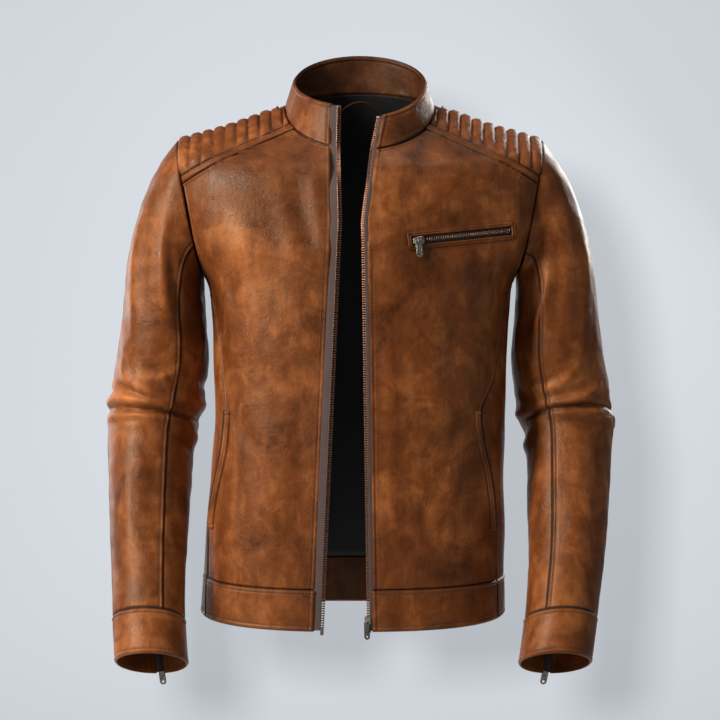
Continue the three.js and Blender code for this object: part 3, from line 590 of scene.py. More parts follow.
def shell(name, base, normal, top, low, material, round_sides=(), near=None):
    """A closed sheet of leather or cloth: its face at top and its back at low from a surface."""
    rows, columns = base.shape[:2]
    face = (base + normal * np.broadcast_to(top, (rows, columns))[..., None]).reshape(-1, 3)
    back = (base + normal * np.broadcast_to(low, (rows, columns))[..., None]).reshape(-1, 3)
    index = np.arange(rows * columns).reshape(rows, columns)
    rim = np.concatenate([index[0, :-1], index[:-1, -1], index[-1, :0:-1], index[:0:-1, 0]])
    inside = index[np.clip(rim // columns, 1, rows - 2), np.clip(rim % columns, 1, columns - 2)]
    side_of_rim = np.repeat(["low", "right", "high", "left"], [columns - 1, rows - 1] * 2)
    bulge = np.where(np.isin(side_of_rim, round_sides), 0.9, 0.0)
    outwards = unit(face[rim] - face[inside])
    middle = (face[rim] + back[rim]) / 2 + outwards * bulge[:, None]
    n = rows * columns
    quads = np.stack([index[:-1, :-1], index[:-1, 1:], index[1:, 1:], index[1:, :-1]], -1).reshape(-1, 4)
    around = np.roll(np.arange(len(rim)), -1)
    mid = 2 * n + np.arange(len(rim))
    walls = [
        np.stack([rim[around], rim, mid, mid[around]], -1),
        np.stack([mid[around], mid, n + rim, n + rim[around]], -1),
    ]
    faces = np.concatenate([quads, n + quads[:, ::-1], *walls])
    k = len(quads) // 2 + columns // 2
    a, b, c, _ = face[quads[k]]
    if np.cross(b - a, c - a) @ normal.reshape(-1, 3)[quads[k, 0]] < 0:
        faces = faces[:, ::-1]
    # the face's height goes into the lift mark, which the leather material turns into painted highlight
    # and painted shade
    lifted = np.broadcast_to(top, (rows, columns)).ravel()
    near = np.zeros(n) if near is None else near.ravel()
    return build(name, np.concatenate([face, back, middle]), faces, material,
                 seam=np.concatenate([near, near, near[rim]]),
                 lift=np.concatenate([lifted, lifted, lifted[rim]]))


def link(tree, source, output, target, socket):
    tree.links.new(source.outputs[output], target.inputs[socket])


def leather(name, deep, middle, light, rough=(0.29, 0.52), coat=0.03, shift=0.0):
    """Hand-rubbed aniline leather: clouded dye, pores, fine wrinkles, darker seams, and painted highlight
    on raised leather with painted shade on sunk leather.
    """
    made = bpy.data.materials.new(name)
    made.use_nodes = True
    tree = made.node_tree
    add = tree.nodes.new
    shader = tree.nodes["Principled BSDF"]
    place = add("ShaderNodeAttribute")
    place.attribute_name = "cut"

    def noise(scale, detail, roughness=0.6, distortion=0.0, stretch=(1, 1, 1)):
        mapping = add("ShaderNodeMapping")
        mapping.inputs["Scale"].default_value = stretch
        mapping.inputs["Location"].default_value = (shift, 2 * shift, 3 * shift)
        texture = add("ShaderNodeTexNoise")
        texture.inputs["Scale"].default_value = scale
        texture.inputs["Detail"].default_value = detail
        texture.inputs["Roughness"].default_value = roughness
        texture.inputs["Distortion"].default_value = distortion
        link(tree, place, "Vector", mapping, "Vector")
        link(tree, mapping, "Vector", texture, "Vector")
        return texture

    def mixed(a, b, share):
        node = add("ShaderNodeMix")
        node.data_type = "FLOAT"
        node.inputs[0].default_value = share
        tree.links.new(a, node.inputs[2])
        tree.links.new(b, node.inputs[3])
        return node.outputs[0]

    clouds = noise(9, 5, 0.62, 0.7)
    patches = noise(30, 5, 0.65, 1.2)
    streaks = noise(60, 4, 0.6, 0.5, (1, 1, 0.3))
    tone = mixed(mixed(clouds.outputs["Fac"], patches.outputs["Fac"], 0.34),
                 streaks.outputs["Fac"], 0.22)
    ramp = add("ShaderNodeValToRGB")
    stops = ramp.color_ramp.elements
    stops[0].position, stops[0].color = 0.33, (*deep, 1)
    stops[1].position, stops[1].color = 0.67, (*light, 1)
    stops.new(0.5).color = (*middle, 1)
    tree.links.new(tone, ramp.inputs["Fac"])

    def tinted(color_socket, mark, start, end, tint, strength):
        """Multiplies the colour by a tint where a per-point value is strong: a seam's nearness, or the
        leather's height for painted highlight and shade.
        """
        attribute = add("ShaderNodeAttribute")
        attribute.attribute_name = mark
        share = add("ShaderNodeMapRange")
        share.inputs["From Min"].default_value = start
        share.inputs["From Max"].default_value = end
        share.inputs["To Max"].default_value = strength
        link(tree, attribute, "Fac", share, "Value")
        node = add("ShaderNodeMix")
        node.data_type = "RGBA"
        node.blend_type = "MULTIPLY"
        node.inputs[7].default_value = (*tint, 1)
        link(tree, share, "Result", node, "Factor")
        tree.links.new(color_socket, node.inputs[6])
        return node.outputs[2]

    color = tinted(ramp.outputs["Color"], "seam", 0.1, 1.0, (0.22, 0.16, 0.13), 0.9)
    # painted highlight: leather raised by fold ridges, puffs, proud bands and welts is made lighter
    color = tinted(color, "lift", 0.3, 5.0, (1.5, 1.45, 1.35), 0.8)
    # painted shade: leather sunk into fold hollows, seam grooves, set-back facings and the inner collar
    # is made darker
    color = tinted(color, "lift", -0.3, -4.5, (0.62, 0.55, 0.5), 0.8)
    tree.links.new(color, shader.inputs["Base Color"])

    gloss = add("ShaderNodeMapRange")
    gloss.inputs["To Min"].default_value, gloss.inputs["To Max"].default_value = rough
    gloss.inputs["From Min"].default_value, gloss.inputs["From Max"].default_value = 0.35, 0.65
    link(tree, patches, "Fac", gloss, "Value")
    link(tree, gloss, "Result", shader, "Roughness")
    shader.inputs["Coat Weight"].default_value = coat
    shader.inputs["Coat Roughness"].default_value = 0.28
    shader.inputs["Specular IOR Level"].default_value = 0.27
    shader.inputs["Specular Tint"].default_value = (1, 0.72, 0.48, 1)

    def cells(scale, wobble):
        warp = noise(scale * 0.6, 2, 0.5, 0)
        bend = add("ShaderNodeMix")
        bend.data_type = "VECTOR"
        bend.inputs[0].default_value = wobble
        link(tree, place, "Vector", bend, 4)
        link(tree, warp, "Color", bend, 5)
        texture = add("ShaderNodeTexVoronoi")
        texture.feature = "DISTANCE_TO_EDGE"
        texture.inputs["Scale"].default_value = scale
        tree.links.new(bend.outputs[1], texture.inputs["Vector"])
        return texture.outputs["Distance"]

    def bumped(height, strength, deep_by, before=None):
        node = add("ShaderNodeBump")
        node.inputs["Strength"].default_value = strength
        node.inputs["Distance"].default_value = deep_by
        tree.links.new(height, node.inputs["Height"])
        if before:
            link(tree, before, "Normal", node, "Normal")
        return node

    wrinkles = noise(95, 7, 0.68, 1.6)
    pores = bumped(cells(820, 0.0006), 0.35, 0.00035)
    creases = bumped(cells(150, 0.004), 0.16, 0.0007, pores)
    hide = bumped(wrinkles.outputs["Fac"], 0.42, 0.0018, creases)
    link(tree, hide, "Normal", shader, "Normal")
    return made


tan = leather("tan leather", (0.036, 0.0095, 0.0026), (0.150, 0.040, 0.009), (0.36, 0.116, 0.030))
BACK_LEATHER = -1.8


def panel(name, low, high, left, right, material=tan, body_name="root", step=3.2, face=0.0,
          back=BACK_LEATHER, fine=(True, True, True, True), shape=None, round_sides=(), **sewing):
    """One piece of the body: its outline on the body's surface, then its drape and its sewing."""
    grid = patch(low, high, left, right, step, fine=fine)
    angle, h = grid[..., 0], grid[..., 1]
    base = body(angle, h)
    normal = normals(body, angle, h)
    sewing_lift, near = sewn(base, **sewing)
    extra = 0 if shape is None else shape(base)
    hang = drape(base) if shape is None else 0
    cut_out = chest_opening(base) if material is tan else 0
    made = shell(name, base, normal, face + hang + sewing_lift + extra - 3.2 * cut_out,
                 face + back + hang + 0.6 * extra - 1.9 * cut_out, material, round_sides, near)
    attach(made, body_name)
    return made


SIDES = {"left": 1, "right": -1}
seams = {}
for word, side in SIDES.items():
    edge = edge_curve(side, BAND, NECK)
    yoke_start = ring_meets(YOKE, 0, side, False)
    yoke = line_curve(YOKE, 0, side, False)
    waist = side_curve(side, SIDE_SEAM[side], False, BAND)
    arm = arm_curve(side, False, PIT_H, yoke[-1, 1])
    seams[word] = {
        "edge": edge,
        "yoke": yoke,
        "waist": waist,
        "arm": arm,
        "neck": ring_curve(NECK, edge[-1, 0], yoke_start),
        "band": ring_curve(BAND, edge[0, 0], waist[0, 0]),
    }
    own = seams[word]
    front_panel = panel(
        f"front_leather_{word}",
        own["band"],
        joined(own["neck"], yoke),
        edge,
        joined(waist, arm),
        turned=("low",),
        stitched=("right", "high"),
        folded=("left",),
        round_sides=("left",),
    )
    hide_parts(f"front_panel_{word}")

# ---- The side panels: narrow pieces under the arms, from the armpit to the hem band ----
# They shape the waist. The front seam is topstitched on the front panel, the back seam is plain.
for word, side in SIDES.items():
    own = seams[word]
    own["flank"] = side_curve(side, BACK_SEAM, True, BAND)
    tip = np.repeat(own["waist"][-1:], 2, 0)
    flank = own["flank"]
    side_panel = panel(
        f"side_leather_{word}",
        ring_curve(BAND, own["waist"][0, 0], flank[0, 0]),
        tip,
        own["waist"],
        flank,
        turned=("left", "right", "low"),
    )
    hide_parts(f"side_panel_{word}")

# ---- The back: one large panel below a straight yoke, both cut from the same hide ----
# The yoke seam is pressed up and topstitched; the armholes and shoulder lines finish its sides.
def behind(line):
    """Angles of the right half as negative turns round the back, so that a line can cross it."""
    line = line.copy()
    line[:, 0] = np.where(line[:, 0] > 180, line[:, 0] - 360, line[:, 0])
    line[:, 0] = np.where(line[:, 0] == 180, -180, line[:, 0])
    return line


yoke_reach = arm_x(BACK_YOKE_Z)
half_line = on_body(np.linspace(0, yoke_reach, 60), BACK_YOKE_Z, 1, True)
mirrored = half_line[::-1].copy()
mirrored[:, 0] = -180 - half_line[::-1, 0]
back_line = joined(half_line[::-1], mirrored[::-1])
back_arm = {
    word: behind(arm_curve(side, True, PIT_H, half_line[-1, 1])) for word, side in SIDES.items()
}
back_panel = panel(
    "back_leather",
    ring_curve(BAND, behind(seams["left"]["flank"])[0, 0], behind(seams["right"]["flank"])[0, 0]),
    back_line,
    joined(behind(seams["left"]["flank"]), back_arm["left"]),
    joined(behind(seams["right"]["flank"]), back_arm["right"]),
    turned=("low", "high"),
    stitched=("left", "right"),
)
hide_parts("back_panel")

# ---- The quilted shoulders: thin padding between leather and backing, stitched in channels ----
# Each runs over the shoulder from its strip in front to the back yoke, and puffs between its rows
# of stitching. A plain folded strip, 10 mm wide, closes it at the front.
CHANNEL_WIDE = 14.6
QUILT_FROM = 84  # outward distance of the first channel
PUFF = 3.6
QUILT_COLUMNS = 150
for word, side in SIDES.items():
    start = 0 if side > 0 else 180
    strip_top = line_curve(YOKE, YOKE["strip"], side, False)
    quilt_back = line_curve(YOKE_BACK, 0, side, True)
    arm_front = arm_curve(side, False, strip_top[-1, 1], RIDGE_H)
    arm_rear = arm_curve(side, True, quilt_back[-1, 1], RIDGE_H)[::-1]
    arm_front[-1] = (start, RIDGE_H)
    arm_rear[0] = (start, RIDGE_H)
    over_arm = joined(arm_front, arm_rear)
    over_neck = ring_curve(NECK, strip_top[0, 0], quilt_back[0, 0])
    own = seams[word]
    own["strip_top"], own["quilt_back"] = strip_top, quilt_back

    grid = patch(strip_top, quilt_back, over_neck, over_arm, 3.2,
                 across=np.linspace(0, 1, QUILT_COLUMNS))
    angle, h = grid[..., 0], grid[..., 1]
    base = body(angle, h)
    normal = normals(body, angle, h)
    outward_x = side * base[..., 0]
    place_in_channel = (outward_x - QUILT_FROM - 0.07 * base[..., 1]) / CHANNEL_WIDE % 1
    off_row = np.minimum(place_in_channel, 1 - place_in_channel) * 2
    puff = PUFF * (1 - (1 - off_row) ** 2.6) ** 0.8
    to_ends = np.minimum(distance_to(base, base[0]), distance_to(base, base[-1]))
    puff = puff * (0.18 + 0.82 * smooth(to_ends / 11)) - 0.6 * np.exp(-((off_row / 0.10) ** 2))
    puff = puff + 0.35 * waves(base, (16, 12, 20, 14), 21) * smooth(off_row / 0.4)
    sewing_lift, near = sewn(base, turned=("low", "high", "left", "right"))
    near = np.maximum(near, 0.75 * np.exp(-((off_row / 0.11) ** 2)))
    quilted = shell(f"quilted_leather_{word}", base, normal, puff + sewing_lift,
                    np.full(puff.shape, BACK_LEATHER), tan, (), near)
    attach(quilted, "root")
    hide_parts(f"quilted_shoulder_{word}")
    own["channels"] = (base + normal * puff[..., None], normal, off_row)

    arm_strip = arm_curve(side, False, own["yoke"][-1, 1], strip_top[-1, 1])
    strip = panel(
        f"shoulder_strip_leather_{word}",
        own["yoke"],
        strip_top,
        ring_curve(NECK, own["yoke"][0, 0], strip_top[0, 0]),
        arm_strip,
        step=2.4,
        face=0.9,
        turned=("low", "high", "right"),
    )
    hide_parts(f"shoulder_strip_{word}")

# ---- The back yoke: the plain piece between the two quilted shoulders and the neck ----
# It is topstitched along its lower edge, where it laps the back panel.
left_back = behind(seams["left"]["quilt_back"])
right_back = behind(seams["right"]["quilt_back"])
yoke_arm = {
    word: behind(arm_curve(side, True, half_line[-1, 1], seams[word]["quilt_back"][-1, 1]))
    for word, side in SIDES.items()
}
top_line = joined(left_back[::-1], ring_curve(NECK, left_back[0, 0], right_back[0, 0]), right_back)
back_yoke = panel("back_yoke_leather", back_line, top_line, yoke_arm["left"], yoke_arm["right"],
                  turned=("high",), stitched=("low", "left", "right"))
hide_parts("back_yoke")

# ---- The hem band: doubled leather 47 mm deep, in a front piece each side and one behind ----
# It stands a little proud of the panels above it, with a row of stitches by each long edge.
def hem_curve(side, h0, h1):
    h = np.linspace(h0, h1, 30)
    return curve(turn_where(h, side, False, lambda z: seam_x(SIDE_SEAM[side], z)), h)


for word, side in SIDES.items():
    front_end = edge_curve(side, HEM, BAND)
    side_end = hem_curve(side, HEM, BAND)
    band = panel(
        f"hem_band_leather_{word}",
        ring_curve(HEM, front_end[0, 0], side_end[0, 0]),
        ring_curve(BAND, front_end[-1, 0], side_end[-1, 0]),
        front_end,
        side_end,
        face=PROUD,
        back=-2.4,
        stitched=("high",),
        folded=("left", "low"),
        turned=("right",),
        round_sides=("left", "low"),
    )
    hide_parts(f"hem_band_{word}")
    seams[word]["hem_side"], seams[word]["hem_edge"] = side_end, front_end
around = {"left": seams["left"]["hem_side"], "right": seams["right"]["hem_side"] - (360, 0)}
back_band = panel(
    "hem_band_leather_back",
    ring_curve(HEM, around["left"][0, 0], around["right"][0, 0]),
    ring_curve(BAND, around["left"][-1, 0], around["right"][-1, 0]),
    around["left"],
    around["right"],
    face=PROUD,
    back=-2.4,
    stitched=("high",),
    folded=("low",),
    turned=("left", "right"),
    round_sides=("low",),
)
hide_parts("hem_band_back")

# ---- The stand collar: an outer and an inner leaf of leather, turned out along the top edge ----
# Two rows of stitches follow the top edge and the front ends, and the neck seam is topstitched.
COLLAR = {"half": 84, "front": 84, "back": 61, "side_top": 14, "back_top": 57}


def corner(x, reach):
    return math.degrees(math.acos(x / reach))


COLLAR_ENDS = {
    "base": (corner(EDGE[1][2][0], 95), corner(EDGE[-1][2][0], 95) - 360),
    "top": (corner(EDGE[1][3][0], COLLAR["half"]), corner(EDGE[-1][3][0], COLLAR["half"]) - 360),
}


def collar_surface(t, v):
    """t runs from the wearer's left front corner round the back to the right one, v from the seam up."""
    t, v = np.broadcast_arrays(np.asarray(t, float), np.asarray(v, float))
    low = body(COLLAR_ENDS["base"][0] + (COLLAR_ENDS["base"][1] - COLLAR_ENDS["base"][0]) * t,
               np.full(t.shape, NECK))
    angle = np.radians(
        COLLAR_ENDS["top"][0] + (COLLAR_ENDS["top"][1] - COLLAR_ENDS["top"][0]) * t)
    c, s = np.cos(angle), np.sin(angle)
    drop = COLLAR["side_top"] - np.where(c > 0, EDGE[1][3][1], EDGE[-1][3][1])
    rise = COLLAR["back_top"] - COLLAR["side_top"]
    z = COLLAR["side_top"] + np.where(s > 0, -drop * s, -rise * s)
    y = -s * np.where(s > 0, COLLAR["front"], COLLAR["back"])
    high = np.stack([COLLAR["half"] * c, y, z], -1)
    return low + (high - low) * v[..., None]


def collar_normals(t, v):
    return normals(collar_surface, t, v, -1, (0.003, 0.01))


dark = leather("dark leather", (0.016, 0.005, 0.002), (0.055, 0.017, 0.006), (0.12, 0.042, 0.015),
               (0.42, 0.62), 0.02, 3.7)
collar_t = graded(560, 3.0)
collar_v = graded(68, 2.4)
COLLAR_TURNING = np.array([-0.07, -0.035])  # the seam's turnings, hidden inside the shoulders
T, W = np.meshgrid(collar_t, np.concatenate([COLLAR_TURNING, collar_v]))
for name, face, back, material, node, slot_name in (
    ("collar_leather_outer", 0.0, -1.7, tan, "collar_outer", "tan_leather"),
    ("collar_leather_inner", -2.1, -3.8, dark, "collar_inner", "inner_leather"),
):
    base = collar_surface(T, W)
    normal = collar_normals(T, W)
    roll = 0.8 * waves(base, (60, 44, 75, 52), 31) * smooth(W / 0.3) * smooth((1 - W) / 0.25)
    roll += 0.3 * waves(base, (17, 14, 21), 33) * smooth((0.55 - W) / 0.5)
    outer_leaf = face == 0.0
    sewing_lift, near = sewn(base[2:], turned=("low",), folded=("high", "left", "right"))
    sewing_lift = np.concatenate([np.full((2, W.shape[1]), -1.5), sewing_lift])
    near = np.concatenate([np.ones((2, W.shape[1])), near])
    sewing_lift = sewing_lift if outer_leaf else -sewing_lift * 0.9
    if outer_leaf:
        made = shell(name, base, normal, face + roll + sewing_lift, back + roll, material,
                     ("high", "left", "right"), near)
    else:
        made = shell(name, base, normal, face + roll, back + roll + sewing_lift, material,
                     ("high", "left", "right"), near)
    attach(made, "root")
    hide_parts(node)


# ---- The sleeves: an upper and an under piece of leather, sewn into the armhole ----
# They bend at the elbow, where the leather breaks into deep folds. The front and back seams are
# topstitched on the upper piece, and the armhole seam on the body.
SLEEVE = np.array([  # outer edge x, z; inner edge x, z; depth of the middle; lean; half depth; swing
    (231, -66, 196, -242, 1, 0, 60, 0),
    (254, -95, 199, -247, 1, 0, 62, 0),
    (272, -132, 199.5, -253, 2, 0, 65, 0),
    (285, -172, 199, -260, 3, 0, 67, 0),
    (294, -216, 198, -271, 4, 0, 68, 0),
    (300, -268, 196.5, -292, 6, 1, 68, 0),
    (310, -340, 193, -340, 9, 4, 66, 0),
    (320, -400, 201, -402, 10, 11, 63, 0),
    (320, -445, 210, -443, 2, 20, 59, 0),
    (313, -512, 212, -512, -24, 26, 54, 1),
    (303, -583, 211, -583, -59, 27, 49, 3),
    (292.5, -653, 205.5, -653, -94, 27, 45, 6),
    (284, -702, 198, -702, -118, 27, 44, 8),
])
CUFF_SEAM = 11
VENT_TOP = CUFF_SEAM - 0.51
FRONT_SEAM = 120
BACK_SEAM_TURN = 262


def plain_sleeve(side, angle, s):
    angle, s = np.broadcast_arrays(np.asarray(angle, float), np.asarray(s, float))
    by = np.arange(len(SLEEVE), dtype=float)
    ox, oz, ix, iz, y, lean, deep, swing = (between(by, SLEEVE[:, k], s) for k in range(8))
    c, sn = np.cos(np.radians(angle)), np.sin(np.radians(angle))
    lean = np.radians(lean)
    x = (ox + ix) / 2 + (ox - ix) / 2 * c - side * swing
    return np.stack([
        side * x,
        y - deep * np.cos(lean) * sn,
        (oz + iz) / 2 + (oz - iz) / 2 * c + deep * np.sin(lean) * sn,
    ], -1)


def armhole_ring(side):
    """The sewn armhole by the turn round the sleeve: angle, then x, y, z."""
    front = arm_curve(side, False, PIT_H, RIDGE_H, 160)
    rear = arm_curve(side, True, PIT_H, RIDGE_H, 160)
    points = np.concatenate([body(front[:, 0], front[:, 1]), body(rear[:, 0], rear[:, 1])])
    outer, inner = SLEEVE[0, :2], SLEEVE[0, 2:4]
    middle, axis = (outer + inner) / 2, (outer - inner) / 2
    off_x, off_z = side * points[:, 0] - middle[0], points[:, 2] - middle[1]
    a = (off_x * axis[0] + off_z * axis[1]) / (axis @ axis)
    b = -(points[:, 1] - SLEEVE[0, 4]) / SLEEVE[0, 6]
    turn = np.degrees(np.arctan2(b, a)) % 360
    order = np.argsort(turn)
    turn, points = turn[order], points[order]
    keep = np.concatenate([[True], np.diff(turn) > 0.05])
    turn, points = turn[keep], points[keep]
    turn = np.concatenate([turn[-3:] - 360, turn, turn[:3] + 360])
    return turn, np.concatenate([points[-3:], points, points[:3]])


ARMHOLES = {side: armhole_ring(side) for side in (1, -1)}


def sleeve(side, angle, s):
    """The sleeve's surface: angle in degrees from its outer edge by the front; s counts sections."""
    angle, s = np.broadcast_arrays(np.asarray(angle, float), np.asarray(s, float))
    p = plain_sleeve(side, angle, s)
    turn, ring = ARMHOLES[side]
    sewn_to = np.stack([np.interp(angle % 360, turn, ring[:, k]) for k in range(3)], -1)
    pull = 1 - smooth(s / 1.5)
    return p + (sewn_to - plain_sleeve(side, angle, np.zeros_like(s))) * pull[..., None]


def sleeve_normals(side, angle, s):
    return normals(lambda a, b: sleeve(side, a, b), angle, np.maximum(s, 0.021), -side, (0.5, 0.02))


# Folds of each sleeve: height, half width, and path in degrees round the sleeve and z.
SLEEVE_FOLDS = {
    -1: [
        (-4.5, 4.5, [(24, -366), (60, -384), (84, -396), (112, -408)]),
        (3.6, 8, [(40, -330), (50, -362), (72, -384), (98, -392)]),
        (2.8, 6, [(66, -366), (88, -372), (112, -362), (126, -346)]),
        (-2.4, 7, [(70, -350), (88, -356), (104, -350)]),
        (5.2, 5.5, [(8, -392), (50, -397), (88, -403), (118, -407)]),
        (-7.0, 4.2, [(-10, -405), (40, -409), (88, -416), (128, -420), (165, -420), (190, -414)]),
        (3.6, 5, [(10, -417), (50, -422), (82, -425), (110, -430)]),
        (-5.0, 5, [(-24, -383), (0, -384), (24, -380)]),
        (4.4, 6, [(-30, -396), (0, -397), (20, -396)]),
        (4.6, 8, [(140, -398), (170, -396), (205, -394)]),
        (-4.4, 6, [(150, -372), (175, -374), (200, -370)]),
        (4.0, 9, [(140, -438), (170, -440), (200, -436)]),
        (-2.4, 6, [(104, -440), (140, -452), (172, -462)]),
        (3.2, 10, [(76, -175), (92, -225), (104, -285)]),
        (-3.0, 8, [(100, -200), (112, -250), (120, -300)]),
        (2.6, 12, [(30, -200), (44, -260), (62, -330)]),
        (-2.0, 12, [(50, -190), (66, -250), (84, -320)]),
        (2.6, 11, [(150, -262), (158, -300), (150, -350)]),
        (1.8, 14, [(62, -470), (66, -540), (64, -610)]),
        (-1.6, 12, [(98, -470), (98, -540), (96, -600)]),
        (-4.2, 5, [(250, -392), (290, -398), (330, -394)]),
        (3.6, 7, [(240, -408), (285, -414), (330, -408)]),
        (-3.6, 6, [(245, -426), (290, -432), (330, -424)]),
    ],
    1: [
        (3.4, 6, [(132, -386), (108, -382), (88, -368), (74, -352)]),
        (-2.8, 5, [(124, -398), (96, -392), (70, -380)]),
        (4.6, 6, [(122, -409), (88, -403), (62, -390), (44, -376)]),
        (-7.0, 4.2, [(190, -424), (150, -419), (110, -412), (70, -408), (30, -405), (-8, -410)]),
        (3.8, 5.5, [(110, -422), (76, -418), (40, -424), (14, -430)]),
        (-3.0, 4.5, [(116, -436), (84, -432), (50, -440)]),
        (-4.6, 6, [(24, -392), (0, -391), (-26, -394)]),
        (4.4, 6, [(26, -420), (0, -421), (-26, -418)]),
        (4.6, 7, [(206, -410), (180, -410), (150, -406)]),
        (-4.2, 6, [(204, -428), (178, -432), (152, -428)]),
        (3.4, 9, [(202, -446), (176, -450), (150, -446)]),
        (3.4, 8, [(104, -215), (114, -258), (126, -300)]),
        (-3.4, 9, [(120, -225), (130, -268), (138, -320)]),
        (-2.2, 12, [(84, -190), (92, -250), (104, -320)]),
        (2.4, 14, [(40, -190), (48, -260), (66, -330)]),
        (2.4, 11, [(152, -262), (160, -300), (152, -352)]),
        (2.0, 13, [(84, -456), (86, -520), (84, -590)]),
        (-1.8, 12, [(50, -460), (50, -530), (52, -600)]),
        (-4.2, 5, [(250, -394), (290, -400), (330, -396)]),
        (3.6, 7, [(240, -410), (285, -416), (330, -410)]),
        (-3.6, 6, [(245, -428), (290, -434), (330, -426)]),
    ],
}
ROUND = 1.08  # millimetres of leather to a degree round the elbow


def sleeve_drape(side, angle, s, points):
    z_middle = between(np.arange(len(SLEEVE), dtype=float), (SLEEVE[:, 1] + SLEEVE[:, 3]) / 2, s)
    turn = np.where(angle < -60, angle + 360, angle)
    total = np.zeros(angle.shape)
    for height, wide, path in SLEEVE_FOLDS[side]:
        line = rounded(path, 14) * (ROUND, 1)
        for around_by in (0, -360):
            off, share = along((turn + around_by) * ROUND, z_middle, line)
            total += height * np.exp(-((off / wide) ** 2)) * np.sin(
                math.pi * np.clip(share, 0.04, 0.96)) ** 0.6
    total += 0.8 * waves(points, (120, 95, 140, 80), 40 + side)
    total += 0.32 * waves(points, (30, 24, 36, 20, 27), 50 + side)
    elbow = np.exp(-(((z_middle + 405) / 38) ** 2))
    total += elbow * 0.8 * waves(points * (0.35, 0.35, 1), (15, 19, 12, 17), 60 + side)
    return total * smooth(s / 0.7) * (0.2 + 0.8 * smooth((CUFF_SEAM - s) / 0.9))


def sleeve_rows(side, s0, s1, step, fine):
    s = np.linspace(s0, s1, 400)
    p = plain_sleeve(side, np.full_like(s, 90), s)
    run = np.concatenate([[0], np.cumsum(np.linalg.norm(np.diff(p, axis=0), axis=1))])
    at = graded(run[-1], step, fine)
    return np.interp(at * run[-1], run, s)


VENT_HALF = 5.5  # millimetres of the vent each side of the back seam


def clear_of_vent(angle, s):
    """Moves the leather aside round the open vent below the end of its zip."""
    half = VENT_HALF / 0.80
    open_by = smooth((s - VENT_TOP + 0.06) / 0.06) * (s < CUFF_SEAM + 0.001)
    off = (angle - BACK_SEAM_TURN + 180) % 360 - 180
    way = np.where(off > 0, 1, -1)
    way = np.where(np.abs(off) < 1e-6, np.where(angle > 0, -1, 1), way)
    return angle + way * half * open_by * np.maximum(1 - np.abs(off) / 40, 0)


def sleeve_piece(name, side, a0, a1, s0, s1, face, back, material, drape_share=1.0, step=2.9,
                 fine=(True, True), columns_fine=(True, True), round_sides=(), inward_only=False,
                 **sewing):
    rows = sleeve_rows(side, s0, s1, step, fine)
    columns = a0 + (a1 - a0) * graded((a1 - a0) * ROUND, step, columns_fine)
    A, S = np.meshgrid(columns, rows)
    A = clear_of_vent(A, S)
    base = sleeve(side, A, S)
    normal = sleeve_normals(side, A, S)
    hang = sleeve_drape(side, A, S, base) * drape_share if drape_share else np.zeros(A.shape)
    if inward_only:
        hang = np.minimum(hang, 0)
    lift, near = sewn(base, **sewing)
    return shell(name, base, normal, face + hang + lift, back + hang, material, round_sides, near)


def bends_with_arm(piece):
    """Bakes the piece's placement into its mesh; the piece is attached to no body."""
    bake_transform(piece)


for word, side in SIDES.items():
    upper = sleeve_piece(
        f"upper_sleeve_leather_{word}", side, BACK_SEAM_TURN - 360, FRONT_SEAM, 0, CUFF_SEAM,
        0.3, BACK_LEATHER, tan, turned=("low", "high"), stitched=("left", "right"))
    under = sleeve_piece(
        f"under_sleeve_leather_{word}", side, FRONT_SEAM, BACK_SEAM_TURN, 0, CUFF_SEAM,
        0.0, BACK_LEATHER, tan, turned=("low", "high", "left", "right"))
    for made, node in ((upper, f"upper_sleeve_{word}"), (under, f"under_sleeve_{word}")):
        bends_with_arm(made)
        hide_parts(node)

# ---- The cuffs: doubled bands at the wrists, open behind where the zipped vent ends ----
# Each stands a little proud of its sleeve, with stitches by its seam and by its edge.
for word, side in SIDES.items():
    gap = VENT_HALF / 0.80
    cuff = sleeve_piece(
        f"cuff_leather_{word}", side, BACK_SEAM_TURN - 360 + gap, BACK_SEAM_TURN - gap,
        CUFF_SEAM + 0.01, len(SLEEVE) - 1.0, PROUD, -2.3, tan, 0.5, 2.4,
        stitched=("low",), folded=("high", "left", "right"), round_sides=("high", "left", "right"))
    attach(cuff, f"sleeve_{word}")
    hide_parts(f"cuff_{word}")

# ---- The lining: black satin hung inside the body and the sleeves, and leather at the edges ----
# A leather facing 48 mm wide backs each front edge and another backs the hem band.
def cloth(name, color, sheen=0.2, rough=0.7, threads=900):
    """Plain woven cloth: two crossing ribs and a slight unevenness of its dye."""
    made = bpy.data.materials.new(name)
    made.use_nodes = True
    tree = made.node_tree
    add = tree.nodes.new
    shader = tree.nodes["Principled BSDF"]
    place = add("ShaderNodeAttribute")
    place.attribute_name = "cut"
    ribs = []
    for axis in ("X", "Z"):
        wave = add("ShaderNodeTexWave")
        wave.bands_direction = axis
        wave.inputs["Scale"].default_value = threads / 2
        wave.inputs["Distortion"].default_value = 0.4
        link(tree, place, "Vector", wave, "Vector")
        ribs.append(wave)
    weave = add("ShaderNodeMath")
    weave.operation = "MULTIPLY"
    link(tree, ribs[0], "Fac", weave, 0)
    link(tree, ribs[1], "Fac", weave, 1)
    uneven = add("ShaderNodeTexNoise")
    uneven.inputs["Scale"].default_value = 40
    uneven.inputs["Detail"].default_value = 5
    link(tree, place, "Vector", uneven, "Vector")
    ramp = add("ShaderNodeValToRGB")
    ramp.color_ramp.elements[0].color = (*(0.6 * c for c in color), 1)
    ramp.color_ramp.elements[1].color = (*(1.4 * c for c in color), 1)
    link(tree, uneven, "Fac", ramp, "Fac")
    link(tree, ramp, "Color", shader, "Base Color")
    bump = add("ShaderNodeBump")
    bump.inputs["Strength"].default_value = 0.35
    bump.inputs["Distance"].default_value = 0.0004
    link(tree, weave, "Value", bump, "Height")
    link(tree, bump, "Normal", shader, "Normal")
    shader.inputs["Roughness"].default_value = rough
    shader.inputs["Sheen Weight"].default_value = sheen
    return made


